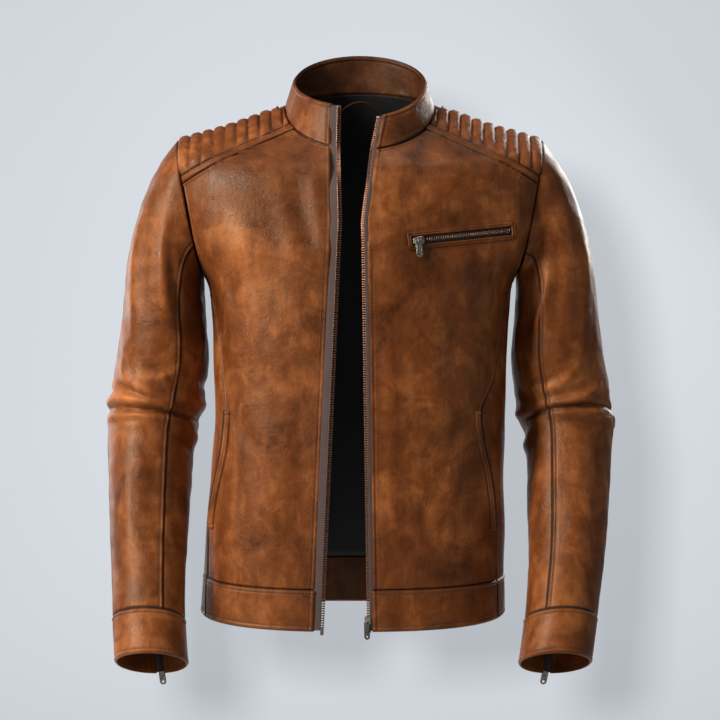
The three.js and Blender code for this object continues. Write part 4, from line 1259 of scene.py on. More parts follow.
satin = cloth("black lining satin", (0.0025, 0.002, 0.002), 0.0, 0.8)
PLAIN = (False, False, False, False)
FACING_WIDE = 48
for word, side in SIDES.items():
    start = 0 if side > 0 else 180
    near_edge = edge_curve(side, HEM + 2, NECK, 4)
    far_edge = edge_curve(side, HEM + 2, NECK, FACING_WIDE)
    facing = panel(f"front_facing_leather_{word}", ring_curve(HEM + 2, near_edge[0, 0], far_edge[0, 0]),
                   ring_curve(NECK, near_edge[-1, 0], far_edge[-1, 0]), near_edge, far_edge,
                   material=dark, face=-2.7, back=-1.7, step=5, fine=PLAIN)
    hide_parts(f"front_facing_{word}")

    lining_edge = edge_curve(side, BAND + 12, NECK, FACING_WIDE + 0.5)
    arm = arm_curve(side, False, PIT_H, RIDGE_H)
    arm[-1] = (start, RIDGE_H)
    outer_side = joined(curve(start, np.linspace(BAND + 12, PIT_H, 60)), arm)
    shoulder_top = joined(ring_curve(NECK, lining_edge[-1, 0], start),
                          curve(start, np.linspace(NECK, RIDGE_H, 30)))
    lining = panel(f"body_lining_cloth_{word}", ring_curve(BAND + 12, lining_edge[0, 0], start),
                   shoulder_top, lining_edge, outer_side,
                   material=satin, face=-3.7, back=-0.8, step=7, fine=PLAIN)
    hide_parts(f"body_lining_{word}")

rear_arms = []
for word, side in SIDES.items():
    arm = behind(arm_curve(side, True, PIT_H, RIDGE_H))
    arm[[0, -1], 0] = 0 if side > 0 else -180
    rear_arms.append(joined(curve(arm[0, 0], np.linspace(BAND + 12, PIT_H, 60)), arm))
over_back = joined(curve(0, np.linspace(RIDGE_H, NECK, 30)), ring_curve(NECK, 0, -180),
                   curve(-180, np.linspace(NECK, RIDGE_H, 30)))
lining = panel("body_lining_cloth_back", ring_curve(BAND + 12, 0, -180), over_back, *rear_arms,
               material=satin, face=-3.7, back=-0.8, step=7, fine=PLAIN)
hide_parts("body_lining_back")

hem_ends = [edge_curve(side, HEM + 2, BAND + 10, FACING_WIDE + 0.5) for side in (1, -1)]
hem_ends[1][:, 0] -= 360
hem_facing = panel("hem_facing_leather", ring_curve(HEM + 2, hem_ends[0][0, 0], hem_ends[1][0, 0]),
                   ring_curve(BAND + 10, hem_ends[0][-1, 0], hem_ends[1][-1, 0]), *hem_ends,
                   material=dark, face=-2.8, back=-1.6, step=5, fine=(False, False, True, True),
                   turned=("high",))
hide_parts("hem_facing")

VENT_GAP = 8
for word, side in SIDES.items():
    inner = sleeve_piece(
        f"sleeve_lining_cloth_{word}", side, BACK_SEAM_TURN - 360 + VENT_GAP, BACK_SEAM_TURN - VENT_GAP,
        0.35, CUFF_SEAM + 0.4, -5.0, -0.8, satin, 1.0, 3.6, (False, False), (False, False),
        inward_only=True)
    bends_with_arm(inner)
    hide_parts(f"sleeve_lining_{word}")

# ---- The hanger loop: a folded strip of leather, sewn by its ends inside the back neck ----
def chorded(points, spacing):
    """A smooth line through points, at an even spacing."""
    points = np.array(points, float)
    run = np.concatenate([[0], np.cumsum(np.linalg.norm(np.diff(points, axis=0), axis=1))])
    at = np.linspace(0, run[-1], max(int(run[-1] / spacing), 2) + 1)
    return np.stack([between(run, points[:, k], at) for k in range(3)], -1)


def frames(line, across):
    """For each point of a line: across, outward and along, as unit vectors."""
    step = unit(np.gradient(line, axis=0))
    outward = unit(np.cross(across, step))
    if outward[len(outward) // 2, 1] > 0:
        outward = -outward
    return np.broadcast_to(across, line.shape), outward, step


def sweep(name, line, across, section, material):
    """A strip of constant section, given as points across and outwards, along a line."""
    sideways, outward, _ = frames(line, across)
    section = np.array(section, float)
    rings = (line[:, None] + sideways[:, None] * section[None, :, :1]
             + outward[:, None] * section[None, :, 1:])
    n, m = rings.shape[:2]
    index = np.arange(n * m).reshape(n, m)
    after = np.roll(index, -1, axis=1)
    faces = np.stack([index[:-1], after[:-1], after[1:], index[1:]], -1).reshape(-1, 4)
    caps = [[ring[0], ring[1 + 2 * k], ring[2 + 2 * k], ring[min(3 + 2 * k, m - 1)]]
            for ring in (index[0], index[-1, ::-1]) for k in range((m - 2 + 1) // 2)]
    caps = [c for c in caps if len(set(c)) == 4]
    tris = np.array(caps, np.int32).reshape(-1, 4)
    return build(name, rings.reshape(-1, 3), np.concatenate([faces, tris]), material)


LOOP_ENDS, LOOP_TOP = (26, 62, -16), (0, 54, -4.3)
t = np.linspace(-1, 1, 41)
loop_line = np.stack([t * LOOP_ENDS[0], LOOP_TOP[1] + (LOOP_ENDS[1] - LOOP_TOP[1]) * t**2,
                      LOOP_TOP[2] + (LOOP_ENDS[2] - LOOP_TOP[2]) * t**2], -1)
loop = sweep("hanger_loop_leather", loop_line, np.array([0, 1.0, 0]),
             [(-3.5, -0.4), (-3.5, 0.4), (-3.1, 0.7), (3.1, 0.7), (3.5, 0.4), (3.5, -0.4), (3.1, -0.7),
              (-3.1, -0.7)], dark)
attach(loop, "root")
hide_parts("hanger_loop")

# ---- The front zip: copper-coloured metal teeth on brown tape, open from hem to collar ----
# The wearer's left row carries the slider and its box, the right row ends in the insertion pin.
def metal(name, color, dull, rough=(0.22, 0.5)):
    """Cast and plated metal: darker in its hollows, with fine scratches and worn patches."""
    made = bpy.data.materials.new(name)
    made.use_nodes = True
    tree = made.node_tree
    add = tree.nodes.new
    shader = tree.nodes["Principled BSDF"]
    place = add("ShaderNodeTexCoord")
    wear = add("ShaderNodeTexNoise")
    wear.inputs["Scale"].default_value = 420
    wear.inputs["Detail"].default_value = 6
    link(tree, place, "Object", wear, "Vector")
    ramp = add("ShaderNodeValToRGB")
    ramp.color_ramp.elements[0].position, ramp.color_ramp.elements[0].color = 0.35, (*dull, 1)
    ramp.color_ramp.elements[1].position, ramp.color_ramp.elements[1].color = 0.62, (*color, 1)
    link(tree, wear, "Fac", ramp, "Fac")
    link(tree, ramp, "Color", shader, "Base Color")
    spread = add("ShaderNodeMapRange")
    spread.inputs["To Min"].default_value, spread.inputs["To Max"].default_value = rough[1], rough[0]
    link(tree, wear, "Fac", spread, "Value")
    link(tree, spread, "Result", shader, "Roughness")
    scratches = add("ShaderNodeBump")
    scratches.inputs["Strength"].default_value = 0.15
    scratches.inputs["Distance"].default_value = 0.0001
    link(tree, wear, "Fac", scratches, "Height")
    link(tree, scratches, "Normal", shader, "Normal")
    shader.inputs["Metallic"].default_value = 1
    return made


copper = metal("copper teeth", (0.52, 0.25, 0.15), (0.20, 0.09, 0.055))
dark_copper = metal("dark teeth", (0.20, 0.12, 0.085), (0.06, 0.035, 0.025))
nickel = metal("aged nickel", (0.46, 0.42, 0.37), (0.16, 0.14, 0.12))
tape_cloth = cloth("brown zip tape", (0.055, 0.028, 0.022), 0.2, 0.85, 1400)

TAPE = {1: 3.4, -1: 7.8}  # how much of the tape shows
TAPE_TURN = {1: 37, -1: -8}
TOOTH_PITCH = 2.9
MAIN_TRAVEL_TOP = -196


def edge_path(side):
    """The line down the middle of a front edge's leather."""
    foot, bend, neck = EDGE[side][0], EDGE[side][1], EDGE[side][2]

    def at(x, z):
        turn, h = on_body(abs(x), z, 1 if x > 0 else -1, False)
        return body(turn, h)

    def straight(z):
        return at(foot[0] + (bend[0] - foot[0]) * (z - foot[1]) / (bend[1] - foot[1]), z)

    t = 0 if side > 0 else 1
    points = [straight(foot[1] + 1), straight(MAIN_TRAVEL_TOP), at(*bend), at(*((bend + neck) / 2)),
              *(collar_surface(t, v) for v in (0, 0.5, 0.97))]
    return np.array(points) + (0, LEATHER / 2, 0)


TOOTH = np.array([(-0.9, -0.55), (2.3, -0.55), (2.9, -0.95), (4.1, -0.95), (4.6, -0.55),
                  (4.6, 0.55), (4.1, 0.95), (2.9, 0.95), (2.3, 0.55), (-0.9, 0.55)])


def tooth_row(name, line, across, start, material, mirror=1):
    """One row of teeth, each a small casting with a broad head, clamped over the tape's cord."""
    run = np.concatenate([[0], np.cumsum(np.linalg.norm(np.diff(line, axis=0), axis=1))])
    at = np.arange(TOOTH_PITCH, run[-1] - 1, TOOTH_PITCH)
    centres = np.stack([np.interp(at, run, line[:, k]) for k in range(3)], -1)
    sideways, outward, step = (
        np.stack([np.interp(at, run, f[:, k]) for k in range(3)], -1) for f in frames(line, across))
    levels = [(-1.25, 0.82), (-0.9, 1), (0.9, 1), (1.25, 0.82)]
    middle = TOOTH.mean(0)
    local = np.concatenate([
        np.column_stack([(TOOTH - middle) * size + middle, np.full(len(TOOTH), e)])
        for e, size in levels])
    w, along_by, e = local[:, 0] * mirror + start, local[:, 1], local[:, 2]
    points = (centres[:, None] + sideways[:, None] * w[None, :, None]
              + step[:, None] * along_by[None, :, None] + outward[:, None] * e[None, :, None])
    k = len(TOOTH)
    ring = np.arange(k)
    after = np.roll(ring, -1)
    one = [np.stack([ring + k * j, after + k * j, after + k * (j + 1), ring + k * (j + 1)], -1)
           for j in range(3)]
    top_cap = np.array([(j, k - 1 - j, k - 2 - j, j + 1) for j in range(k // 2 - 1)])
    one = np.concatenate([*one, top_cap, top_cap[:, ::-1] + 3 * k])
    faces = (one[None] + (np.arange(len(at)) * 4 * k)[:, None, None]).reshape(-1, 4)
    return build(name, points.reshape(-1, 3), faces, material, flat=True)


opening_side = {}
for word, side in SIDES.items():
    turn = math.radians(TAPE_TURN[side])
    across = np.array([-side * math.cos(turn), math.sin(turn) * side, 0.0])
    opening_side[side] = across
    line = chorded(edge_path(side), 3.0)
    wide = TAPE[side]
    tape = sweep(f"zip_tape_cloth_{word}", line, across,
                 [(-1.5, -0.4), (-1.5, 0.4), (wide - 0.9, 0.4), (wide - 0.5, 1.0), (wide + 0.7, 1.0),
                  (wide + 1.1, 0), (wide + 0.7, -1.0), (wide - 0.5, -1.0), (wide - 0.9, -0.4)],
                 tape_cloth)
    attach(tape, "root")
    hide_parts(f"zip_tape_{word}")
    teeth = tooth_row(f"zip_teeth_row_{word}", line, across, wide + 0.4, copper)
    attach(teeth, "root")
    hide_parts(f"zip_teeth_{word}")

# ---- Cast zip parts: stops, box, pin, sliders and pull tabs, all of aged nickel-plated zinc ----
# Each is made in its zip's own frame: across, outward and along the slider's travel.
def zip_frame(start, end, outward):
    """Origin and the directions across, outward and along."""
    start, end = np.array(start, float), np.array(end, float)
    step = unit(end - start)
    out = unit(np.array(outward, float) - (np.array(outward, float) @ step) * step)
    return start, np.cross(-out, step), out, step


def moved(zip_at, by):
    start, across, out, step = zip_at
    return start + step * by, across, out, step


def set_in(zip_at, local):
    """Points given across, outward and along, placed in a zip's frame."""
    start, across, out, step = zip_at
    local = np.asarray(local, float)
    return start + local[:, :1] * across + local[:, 1:2] * out + local[:, 2:] * step


def inset(loop_points, by):
    """A closed outline moved inwards on its left side."""
    before, after = np.roll(loop_points, 1, 0), np.roll(loop_points, -1, 0)
    d0, d1 = unit(loop_points - before), unit(after - loop_points)
    n0 = np.stack([-d0[:, 1], d0[:, 0]], -1)
    n1 = np.stack([-d1[:, 1], d1[:, 0]], -1)
    middle = unit(n0 + n1)
    return loop_points + middle * (by / np.maximum((middle * n0).sum(-1), 0.5))[:, None]


def casting(outlines, low, high, bevel=0.25):
    """A plate with bevelled edges: outlines across and along, the first counter-clockwise and any
    holes clockwise. Gives points as across, outward, along, and triangles."""
    outlines = [np.array(line, float) for line in outlines]
    points, faces, starts = [], [], []
    total = 0
    for line in outlines:
        k = len(line)
        ring = np.arange(k)
        after = np.roll(ring, -1)
        levels = [(low, bevel), (low + bevel, 0), (high - bevel, 0), (high, bevel)]
        for e, by in levels:
            flat = inset(line, by) if by else line
            points.append(np.column_stack([flat[:, 0], np.full(k, e), flat[:, 1]]))
        for j in range(3):
            a, b = total + j * k, total + (j + 1) * k
            faces.append(np.stack([a + ring, a + after, b + after], -1))
            faces.append(np.stack([a + ring, b + after, b + ring], -1))
        starts.append((total, k))
        total += 4 * k
    caps = tessellate_polygon(
        [[Vector((p[0], p[1], 0)) for p in inset(line, bevel)] for line in outlines])
    order = [start + i for start, k in starts for i in range(k)]
    up = [start + 3 * k + i for start, k in starts for i in range(k)]
    joined_points = np.concatenate(points)
    for tri in caps:
        a, b, c = (joined_points[up[i]] for i in tri)
        turned_right = (b[0] - a[0]) * (c[2] - a[2]) - (b[2] - a[2]) * (c[0] - a[0]) > 0
        tri = tri if turned_right else tri[::-1]
        faces.append(np.array([[up[i] for i in tri]]))
        faces.append(np.array([[order[i] for i in tri[::-1]]]))
    return joined_points, np.concatenate(faces)


def cast(name, zip_at, pieces, material, body_name, node):
    """One metal piece from several castings in a zip's frame."""
    points, faces, total = [], [], 0
    for local, tris in pieces:
        points.append(local)
        faces.append(tris + total)
        total += len(local)
    made = build(name, set_in(zip_at, np.concatenate(points)), np.concatenate(faces)[:, ::-1], material,
                 flat=True)
    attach(made, body_name)
    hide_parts(node)
    return made


def rectangle(x0, x1, z0, z1, corner_radius=0.6):
    """A counter-clockwise outline with rounded corners."""
    r = corner_radius
    points = []
    for cx, cz, first in ((x1 - r, z0 + r, -90), (x1 - r, z1 - r, 0),
                          (x0 + r, z1 - r, 90), (x0 + r, z0 + r, 180)):
        for turn in np.radians(first + np.array([0, 30, 60, 90])):
            points.append((cx + r * math.cos(turn), cz + r * math.sin(turn)))
    return np.array(points)


def turned_by(piece, degrees, about_along=0.0):
    """Turns a casting about the outward axis."""
    local, tris = piece
    c, s = math.cos(math.radians(degrees)), math.sin(math.radians(degrees))
    x, e, z = local.T
    z = z - about_along
    return np.column_stack([c * x + s * z, e, c * z - s * x + about_along]), tris


PLATE_LOW, PLATE_HIGH = 1.65, 2.75
CROWN_AT = 5.88
PIN_OUT = 3.7
TAB_WIDE, TAB_LONG, TAB_THICK = 8, 20, 1.3
SHIELD = [(-2.9, 0.3), (2.9, 0.3), (3.4, 2.4), (3.7, 5.0), (4.5, 8.0), (4.7, 10.0), (4.5, 12.2),
          (3.2, 13.6), (0.9, 13.9), (0, 12.9), (-0.9, 13.9), (-3.2, 13.6), (-4.5, 12.2), (-4.7, 10.0),
          (-4.5, 8.0), (-3.7, 5.0), (-3.4, 2.4)]


def slider(name, zip_at, body_name, node, tape_side=0, turn=0.0):
    """A shield-shaped front plate, flanges round the teeth and a bridge that holds the pull."""
    pieces = [casting([SHIELD], PLATE_LOW, PLATE_HIGH, 0.35)]
    for way in (-1, 1):
        bottom = 0.85 if way == tape_side else (-1.1 if tape_side == 0 else -PLATE_HIGH)
        x0, x1 = sorted((way * 2.75, way * 4.65))
        pieces.append(casting([rectangle(x0, x1, 5.5, 12.9, 0.8)], bottom, PLATE_LOW + 0.2, 0.1))
        x0, x1 = sorted((way * 2.75, way * 3.7))
        pieces.append(casting([rectangle(x0, x1, 0.6, 6, 0.4)], bottom, PLATE_LOW + 0.2, 0.1))
    if tape_side:
        pieces.append(casting([SHIELD], -PLATE_HIGH, -PLATE_LOW, 0.35))
    for foot in (-2.2, 2.2):
        post = casting([rectangle(-1, 1, CROWN_AT + foot - 0.5, CROWN_AT + foot + 0.5, 0.3)],
                       PLATE_HIGH - 0.1, 5.3, 0.2)
        pieces.append(turned_by(post, turn, CROWN_AT))
    bridge = casting([rectangle(-1, 1, CROWN_AT - 2.7, CROWN_AT + 2.7, 0.6)], 4.65, 5.65, 0.3)
    pieces.append(turned_by(bridge, turn, CROWN_AT))
    return cast(name, zip_at, pieces, nickel, body_name, node)


def pull_tab(name, zip_at, body_name, node, hang=0.0, turn=0.0, material=None):
    """A flat tab with a rounded end, a window for the bridge, a raised border and a small hole."""
    r = TAB_WIDE / 2
    tip = -TAB_LONG + r
    arc = np.radians(np.linspace(180, 360, 13))
    outline = [(r, 0.55), (-r, 0.55), *((r * math.cos(a), tip + r * math.sin(a)) for a in arc)]
    window = rectangle(-1.6, 1.6, -4.15, -0.55, 0.4)[::-1]
    eye_turn = np.radians(np.linspace(360, 0, 13)[:-1])
    eye_hole = [(1.5 * math.cos(a), tip - 0.4 + 1.5 * math.sin(a)) for a in eye_turn]
    plate = casting([outline, window, eye_hole], -TAB_THICK / 2, TAB_THICK / 2, 0.22)
    field = rectangle(-2.4, 2.4, tip + 1.9, -5.6, 0.7)
    rim_out = rectangle(-3.0, 3.0, tip + 1.3, -5.0, 1.0)
    border = casting([rim_out, field[::-1]], -TAB_THICK / 2 - 0.25, TAB_THICK / 2 + 0.25, 0.1)
    pieces = []
    c, s = math.cos(math.radians(hang)), math.sin(math.radians(hang))
    for local, tris in (plate, border):
        x, e, z = local.T
        swung = np.column_stack([x, c * e - s * z + PIN_OUT, s * e + c * z + CROWN_AT])
        pieces.append(turned_by((swung, tris), turn, CROWN_AT))
    return cast(name, zip_at, pieces, material or nickel, body_name, node)


gunmetal = metal("gunmetal", (0.20, 0.185, 0.17), (0.07, 0.065, 0.06), (0.25, 0.45))
CHAIN_FOOT = 3
zip_at = {}
for word, side in SIDES.items():
    path = edge_path(side)
    across = opening_side[side]
    teeth_line = path + across * (TAPE[side] + 0.4 + 2.3)
    teeth_line[0] += unit(teeth_line[1] - teeth_line[0]) * CHAIN_FOOT
    facing_out = unit(np.cross(across, (0, 0, 1)))
    facing_out = facing_out if facing_out[1] < 0 else -facing_out
    zip_at[side] = zip_frame(teeth_line[0], teeth_line[1], facing_out)
    last, before = teeth_line[-1], teeth_line[-2]
    stop_at = zip_frame(last + (before - last) * 0.14, last + (before - last) * 0.02, facing_out)
    stop_long = np.linalg.norm(before - last) * 0.12
    cast(f"top_stop_casting_{word}", stop_at,
         [casting([rectangle(-2.2, 2.2, 0, stop_long, 0.6)], -1.5, 1.5, 0.4)],
         nickel, "root", f"top_stop_{word}")
slider("main_slider_casting", zip_at[1], "main_slider", "main_slider", tape_side=1)
pull_tab("main_pull_tab_casting", zip_at[1], "main_pull", "main_pull_tab", material=gunmetal)
cast("retainer_box_casting", zip_at[1],
     [casting([rectangle(-3.6, 1.9, -6.5, -0.4, 0.7)], -2.3, 2.3, 0.5)], nickel, "root", "retainer_box")
cast("insertion_pin_casting", zip_at[-1],
     [casting([rectangle(-2.2, 1.9, -9, -0.4, 1.0)], -1.5, 1.5, 0.5)], nickel, "root", "insertion_pin")


# ---- Closed zips: the chest pocket's and those of the two cuff vents ----
# Two rows of teeth meet in the middle of a woven tape, with the slider parked at the low end.
CLOSED_TOOTH = np.array(
    [(-0.7, -0.75), (0.3, -0.6), (2.3, -0.45), (2.3, 0.45), (0.3, 0.6), (-0.7, 0.75)])


def closed_zip(prefix, suffix, zip_at, long, body_name, slider_body, pull_body, teeth_material,
               turn=0.0, hang=0.0, tab_material=None):
    ends = 1.2
    half = 5.1
    rows = np.linspace(ends, long - ends, int(long / 3))
    section = np.array([(-half, -2.5), (half, -2.5), (half, -1.6), (2.9, -1.5), (2.6, -0.9), (-2.6, -0.9),
                        (-2.9, -1.5), (-half, -1.6)])
    local = np.concatenate([np.column_stack([section, np.full(len(section), z)]) for z in rows])
    k = len(section)
    index = np.arange(len(local)).reshape(-1, k)
    after = np.roll(index, -1, 1)
    faces = np.stack([index[:-1], index[1:], after[1:], after[:-1]], -1).reshape(-1, 4)
    cap = np.array([(0, 1, 2, 7), (3, 4, 5, 6), (2, 3, 6, 7)])
    faces = np.concatenate([faces, cap + index[-1, 0], cap[:, ::-1]])
    tape = build(f"{prefix}_zip_tape_cloth{suffix}", set_in(zip_at, local), faces, tape_cloth)
    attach(tape, body_name)
    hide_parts(f"{prefix}_zip_tape{suffix}")
    pieces = []
    count = int((long - 2 * ends - 1) / (TOOTH_PITCH / 2))
    for i in range(count):
        z = ends + 1 + i * TOOTH_PITCH / 2
        outline = CLOSED_TOOTH
        if i % 2 == 0:
            outline = (outline * (-1, 1))[::-1]
        pieces.append(casting([outline + (0, z)], -1.3, 1.3, 0.22))
    cast(f"{prefix}_zip_teeth_rows{suffix}", zip_at, pieces, teeth_material, body_name,
         f"{prefix}_zip_teeth{suffix}")
    parked = moved(zip_at, ends)
    slider(f"{prefix}_slider_casting{suffix}", parked, slider_body, f"{prefix}_slider{suffix}", turn=turn)
    pull_tab(f"{prefix}_pull_tab_casting{suffix}", parked, pull_body, f"{prefix}_pull_tab{suffix}",
             hang, turn, tab_material)


chest_start = np.array([CHEST_ZIP["x"][0], CHEST_ZIP["y"][0], CHEST_ZIP["z"][0]], float)
chest_end = np.array([CHEST_ZIP["x"][1], CHEST_ZIP["y"][1], CHEST_ZIP["z"][1]], float)
chest_long = float(np.linalg.norm(chest_end - chest_start))
chest_at = zip_frame(chest_start, chest_end, (0.25, -1, 0))
closed_zip("chest", "", chest_at, chest_long, "root", "chest_slider", "chest_pull", dark_copper, -90)

for word, side in SIDES.items():
    start = sleeve(side, BACK_SEAM_TURN, len(SLEEVE) - 1.0)
    end = sleeve(side, BACK_SEAM_TURN, VENT_TOP)
    outward = start - sleeve(side, BACK_SEAM_TURN - 180, len(SLEEVE) - 1.0)
    closed_zip("cuff", f"_{word}", zip_frame(start, end, outward), float(np.linalg.norm(end - start)),
               f"sleeve_{word}", f"cuff_slider_{word}", f"cuff_pull_{word}", dark_copper,
               hang=SLEEVE[-1, 5])

# ---- The pockets: a leather frame round the chest zip, welts at the hand slits, cotton bags ----
# The frame is four folded strips mitred at the corners; its opening is cut through the panel.
half_slot = CHEST_ZIP["wide"] / 2
corners = [(-half_slot, 0), (half_slot, 0), (half_slot, chest_long), (-half_slot, chest_long)]
ways = [(-1, -1), (1, -1), (1, 1), (-1, 1)]
inner_line, outward_line = [], []
for i in range(4):
    a, b = np.array(corners[i], float), np.array(corners[(i + 1) % 4], float)
    wa, wb = np.array(ways[i], float), np.array(ways[(i + 1) % 4], float)
    count = max(int(np.linalg.norm(b - a) / 2.2), 4)
    for t in np.arange(count) / count:
        inner_line.append(a + (b - a) * t)
        outward_line.append(wa + (wb - wa) * t)
inner_line, outward_line = np.array(inner_line), np.array(outward_line)
FRAME_SECTION = np.array([  # share of the width from the opening out, outward distance
    (0.0, -2.2), (-0.04, 0.2), (0.02, 1.2), (0.14, 1.75), (0.32, 1.7), (0.44, 1.25), (0.56, 1.2),
    (0.70, 1.45), (0.88, 1.35), (0.98, 0.9), (1.0, -0.2), (0.5, -0.6)])
k = len(FRAME_SECTION)
local = np.concatenate([
    np.column_stack([inner_line + outward_line * share * CHEST_ZIP["rim"], np.full(len(inner_line), e)])
    for share, e in FRAME_SECTION])[:, [0, 2, 1]]
n = len(inner_line)
index = np.arange(k * n).reshape(k, n)
right, up = np.roll(index, -1, 1), np.roll(index, -1, 0)
both = np.roll(up, -1, 1)
faces = np.stack([index, right, both, up], -1).reshape(-1, 4)
mitre = np.exp(-(((np.abs(outward_line[:, 0] * outward_line[:, 1]) - 1) / 0.05) ** 2))
in_groove = (FRAME_SECTION[:, 0] > 0.4) & (FRAME_SECTION[:, 0] < 0.6)
near = np.tile(mitre, k) * 0.5 + np.repeat(np.where(in_groove, 0.5, 0.15), n)
pocket_frame = build("chest_pocket_leather_frame", set_in(chest_at, local), faces, tan, seam=near,
                     lift=np.zeros(k * n))
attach(pocket_frame, "root")
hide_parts("chest_pocket_frame")


def front_outline(points, side):
    """A line given by x and z on the front, as angles and heights."""
    points = np.array(points, float)
    runs = [np.linspace(a, b, 24)[:-1] for a, b in zip(points[:-1], points[1:])]
    fine = np.concatenate([*runs, points[-1:]])
    return on_body(fine[:, 0], fine[:, 1], side, False)


bag_left = front_outline([(74, -326), (65, -208)], 1)
bag_right = front_outline([(172, -311), (181, -193)], 1)
bag = panel("chest_pocket_cloth_bag", front_outline([(74, -326), (172, -311)], 1),
            front_outline([(65, -208), (181, -193)], 1), bag_left, bag_right,
            material=satin, face=-2.7, back=-0.5, step=7, fine=PLAIN)
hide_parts("chest_pocket_bag")

POCKET_TOP, POCKET_FOOT = -402, -549
WELT_WIDE = 7


def beside_slit(side, by):
    """A line this far inward of the pocket slit."""
    z = np.linspace(POCKET_FOOT, POCKET_TOP, 70)
    return on_body(seam_x(SIDE_SEAM[side], z) - by, z, side, False)


def across_slit(side, z, near_by, far_by):
    """A short level line at one end of the slit."""
    x = np.linspace(near_by, far_by, 12) * -1 + seam_x(SIDE_SEAM[side], np.array(float(z)))
    return on_body(x, np.full(12, float(z)), side, False)


def slit_panel(name, side, near_by, far_by, **how):
    """A piece that runs the length of the slit, between two distances from it."""
    return panel(name, across_slit(side, POCKET_FOOT, near_by, far_by),
                 across_slit(side, POCKET_TOP, near_by, far_by),
                 beside_slit(side, near_by), beside_slit(side, far_by), **how)


for word, side in SIDES.items():
    welt = slit_panel(f"hand_pocket_leather_welt_{word}", side, 1, 1 + WELT_WIDE,
                      face=1.9, back=-2.4, step=2.2, folded=("left", "low", "high"),
                      stitched=("right",), round_sides=("left", "right"))
    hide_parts(f"hand_pocket_welt_{word}")
    slit_panel(f"hand_pocket_mouth_cloth_{word}", side, -1.5, 1.3,
               material=satin, face=0.45, back=-2.4, step=4, fine=PLAIN)
    bag = slit_panel(f"hand_pocket_cloth_bag_{word}", side, 0, 60,
                     material=satin, face=-2.7, back=-0.5, step=7, fine=PLAIN)
    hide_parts(f"hand_pocket_bag_{word}")

# ---- The stitches: waxed brown thread, about six to the inch, sunk a little into the leather ----
# Each stitch is laid on the piece it holds, beside the seam, and follows that piece when it bends.
thread = bpy.data.materials.new("waxed thread")
thread.use_nodes = True
thread_shader = thread.node_tree.nodes["Principled BSDF"]
thread_shader.inputs["Base Color"].default_value = (0.11, 0.048, 0.022, 1)
thread_shader.inputs["Roughness"].default_value = 0.55
thread_shader.inputs["Sheen Weight"].default_value = 0.2
STITCH_PITCH = 4.2
STITCH_LONG = 3.1
THREAD_RADIUS = 0.36
SIX = np.radians(np.arange(6) * 60)


def laid_stitches(piece, points, normal, inward_by, pitch=STITCH_PITCH):
    """Ends and normals of the stitches beside a seam, laid on the piece's own surface."""
    into = unit(np.cross(normal, unit(np.gradient(points, axis=0))))
    mesh = piece.data
    corners = np.array([v.co for v in mesh.vertices])
    toward = np.sign(((corners.mean(0) / MM + LOOP_FOOT - points) * into).sum(-1).mean())
    tree = BVHTree.FromPolygons([tuple(c) for c in corners], [tuple(p.vertices) for p in mesh.polygons])
    for way in (toward, -toward):
        line = points + into * way * inward_by
        run = np.concatenate([[0], np.cumsum(np.linalg.norm(np.diff(line, axis=0), axis=1))])
        centres = np.arange(pitch, run[-1] - pitch / 2, pitch)
        above = np.stack([np.interp(centres, run, normal[:, k]) for k in range(3)], -1)
        placed, lifted = [], []
        for shift in (-STITCH_LONG / 2, STITCH_LONG / 2):
            at = np.stack([np.interp(centres + shift, run, line[:, k]) for k in range(3)], -1)
            hits = [tree.ray_cast(Vector(tuple((p + 9 * n - LOOP_FOOT) * MM)), Vector(tuple(-n)), 0.02)
                    for p, n in zip(at, above)]
            placed.append(np.array([(np.nan,) * 3 if hit[0] is None else tuple(hit[0]) for hit in hits])
                          / MM + LOOP_FOOT)
            lifted.append(np.array([(np.nan,) * 3 if hit[1] is None else tuple(hit[1]) for hit in hits]))
        good = ~np.isnan(placed[0] + placed[1]).any(1)
        if good.mean() > 0.5:
            break
    up = unit(lifted[0] + lifted[1])
    up = np.where((up * above).sum(-1, keepdims=True) < 0, -up, up)
    return placed[0][good], placed[1][good], up[good]


def threads(name, runs):
    """A mesh of stitches: each a short round thread whose ends go down into the leather."""
    start, end, up = (np.concatenate([run[i] for run in runs]) for i in range(3))
    step = end - start
    sideways = unit(np.cross(step, up))
    rings = []
    for share, sink, radius in ((0, 0.45, 0.16), (0.16, -0.02, 1.0), (0.84, -0.02, 1.0), (1, 0.45, 0.16)):
        centre = start + step * share - up * sink
        thick = radius * THREAD_RADIUS
        ring = (centre[:, None] + sideways[:, None] * (np.cos(SIX) * thick)[None, :, None]
                + up[:, None] * (np.sin(SIX) * thick)[None, :, None])
        rings.append(ring)
    points = np.stack(rings, 1).reshape(-1, 3)
    ring = np.arange(6)
    after = np.roll(ring, -1)
    one = [np.stack([ring + 6 * j, ring + 6 * j + 6, after + 6 * j + 6, after + 6 * j], -1)
           for j in range(3)]
    one = np.concatenate([*one, [(0, 1, 2, 3), (0, 3, 4, 5), (21, 20, 19, 18), (23, 22, 21, 18)]])
    faces = (one[None] + (np.arange(len(start)) * 24)[:, None, None]).reshape(-1, 4)
    return build(name, points, faces, thread)


def on_surface(line, surface=body):
    """A line of a surface as points and outward normals, evenly spaced."""
    line = spaced(line, surface, np.linspace(0, 1, 240))
    return surface(line[:, 0], line[:, 1]), (
        normals(surface, line[:, 0], line[:, 1]) if surface is body
        else collar_normals(line[:, 0], line[:, 1]))


def body_stitches(name, piece, seam_lines, body_name="root"):
    runs = [laid_stitches(piece, *on_surface(line), by) for line, by in seam_lines]
    made = threads(name, runs)
    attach(made, body_name)
    return made


def piece_named(name):
    return bpy.data.objects[name]


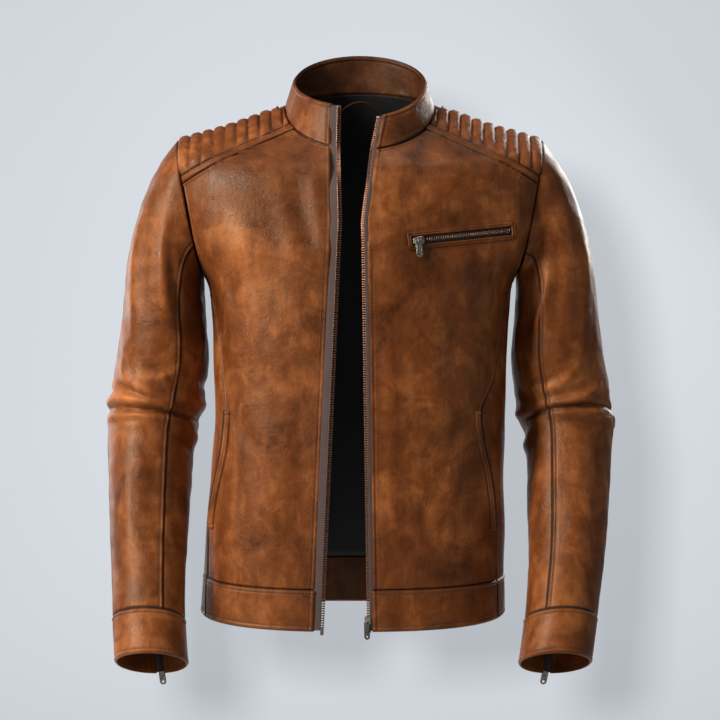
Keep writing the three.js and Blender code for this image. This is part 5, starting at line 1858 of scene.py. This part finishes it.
for word, side in SIDES.items():
    own = seams[word]
    body_stitches(f"front_stitches_{word}", piece_named(f"front_leather_{word}"), [
        (own["edge"], TOPSTITCH + 2.5), (own["yoke"], TOPSTITCH), (own["neck"], TOPSTITCH),
        (own["waist"], TOPSTITCH), (own["arm"], TOPSTITCH)])
    body_stitches(f"strip_stitches_{word}", piece_named(f"shoulder_strip_leather_{word}"),
                  [(own["yoke"], 7.4)])
    around_band = ring_curve(BAND, own["hem_edge"][-1, 0], own["hem_side"][-1, 0])
    around_hem = ring_curve(HEM, own["hem_edge"][0, 0], own["hem_side"][0, 0])
    body_stitches(f"hem_stitches_{word}", piece_named(f"hem_band_leather_{word}"), [
        (around_band, TOPSTITCH), (around_hem, TOPSTITCH), (own["hem_edge"], TOPSTITCH)])
    welt_piece = piece_named(f"hand_pocket_leather_welt_{word}")
    body_stitches(f"pocket_stitches_{word}", welt_piece, [(beside_slit(side, 1), WELT_WIDE - 1.6)])

body_stitches("back_stitches", piece_named("back_leather"), [
    (back_arm["left"], TOPSTITCH), (back_arm["right"], TOPSTITCH)])
body_stitches("back_yoke_stitches", piece_named("back_yoke_leather"), [
    (back_line, TOPSTITCH), (yoke_arm["left"], TOPSTITCH), (yoke_arm["right"], TOPSTITCH)])
ends = around["left"], around["right"]
body_stitches("hem_stitches_back", piece_named("hem_band_leather_back"), [
    (ring_curve(BAND, ends[0][-1, 0], ends[1][-1, 0]), TOPSTITCH),
    (ring_curve(HEM, ends[0][0, 0], ends[1][0, 0]), TOPSTITCH)])

t = np.linspace(0, 1, 120)
collar_lines = [
    (curve(t, np.full(120, 1.0)), TOPSTITCH), (curve(t, np.zeros(120)), TOPSTITCH),
    (curve(np.zeros(120), t), TOPSTITCH), (curve(np.ones(120), t), TOPSTITCH)]
runs = [laid_stitches(piece_named("collar_leather_outer"), *on_surface(line, collar_surface), by)
        for line, by in collar_lines]
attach(threads("collar_stitches", runs), "root")


def sleeve_line(side, angle, s):
    angle, s = np.broadcast_arrays(np.asarray(angle, float), np.asarray(s, float))
    return sleeve(side, angle, s), sleeve_normals(side, angle, s)


for word, side in SIDES.items():
    s = np.linspace(0.05, CUFF_SEAM - 0.02, 260)
    upper = piece_named(f"upper_sleeve_leather_{word}")
    made = threads(f"sleeve_stitches_{word}", [
        laid_stitches(upper, *sleeve_line(side, FRONT_SEAM, s), TOPSTITCH),
        laid_stitches(upper, *sleeve_line(side, BACK_SEAM_TURN - 360, s[:240]), TOPSTITCH)])
    bends_with_arm(made)
    cuff = piece_named(f"cuff_leather_{word}")
    gap = VENT_HALF / 0.80
    turn = np.linspace(BACK_SEAM_TURN - 360 + gap + 4, BACK_SEAM_TURN - gap - 4, 200)
    last = len(SLEEVE) - 1.0
    runs = []
    for start, by in ((CUFF_SEAM + 0.01, TOPSTITCH), (last, TOPSTITCH)):
        runs.append(laid_stitches(cuff, *sleeve_line(side, turn, start), by))
    made = threads(f"cuff_stitches_{word}", runs)
    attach(made, f"sleeve_{word}")
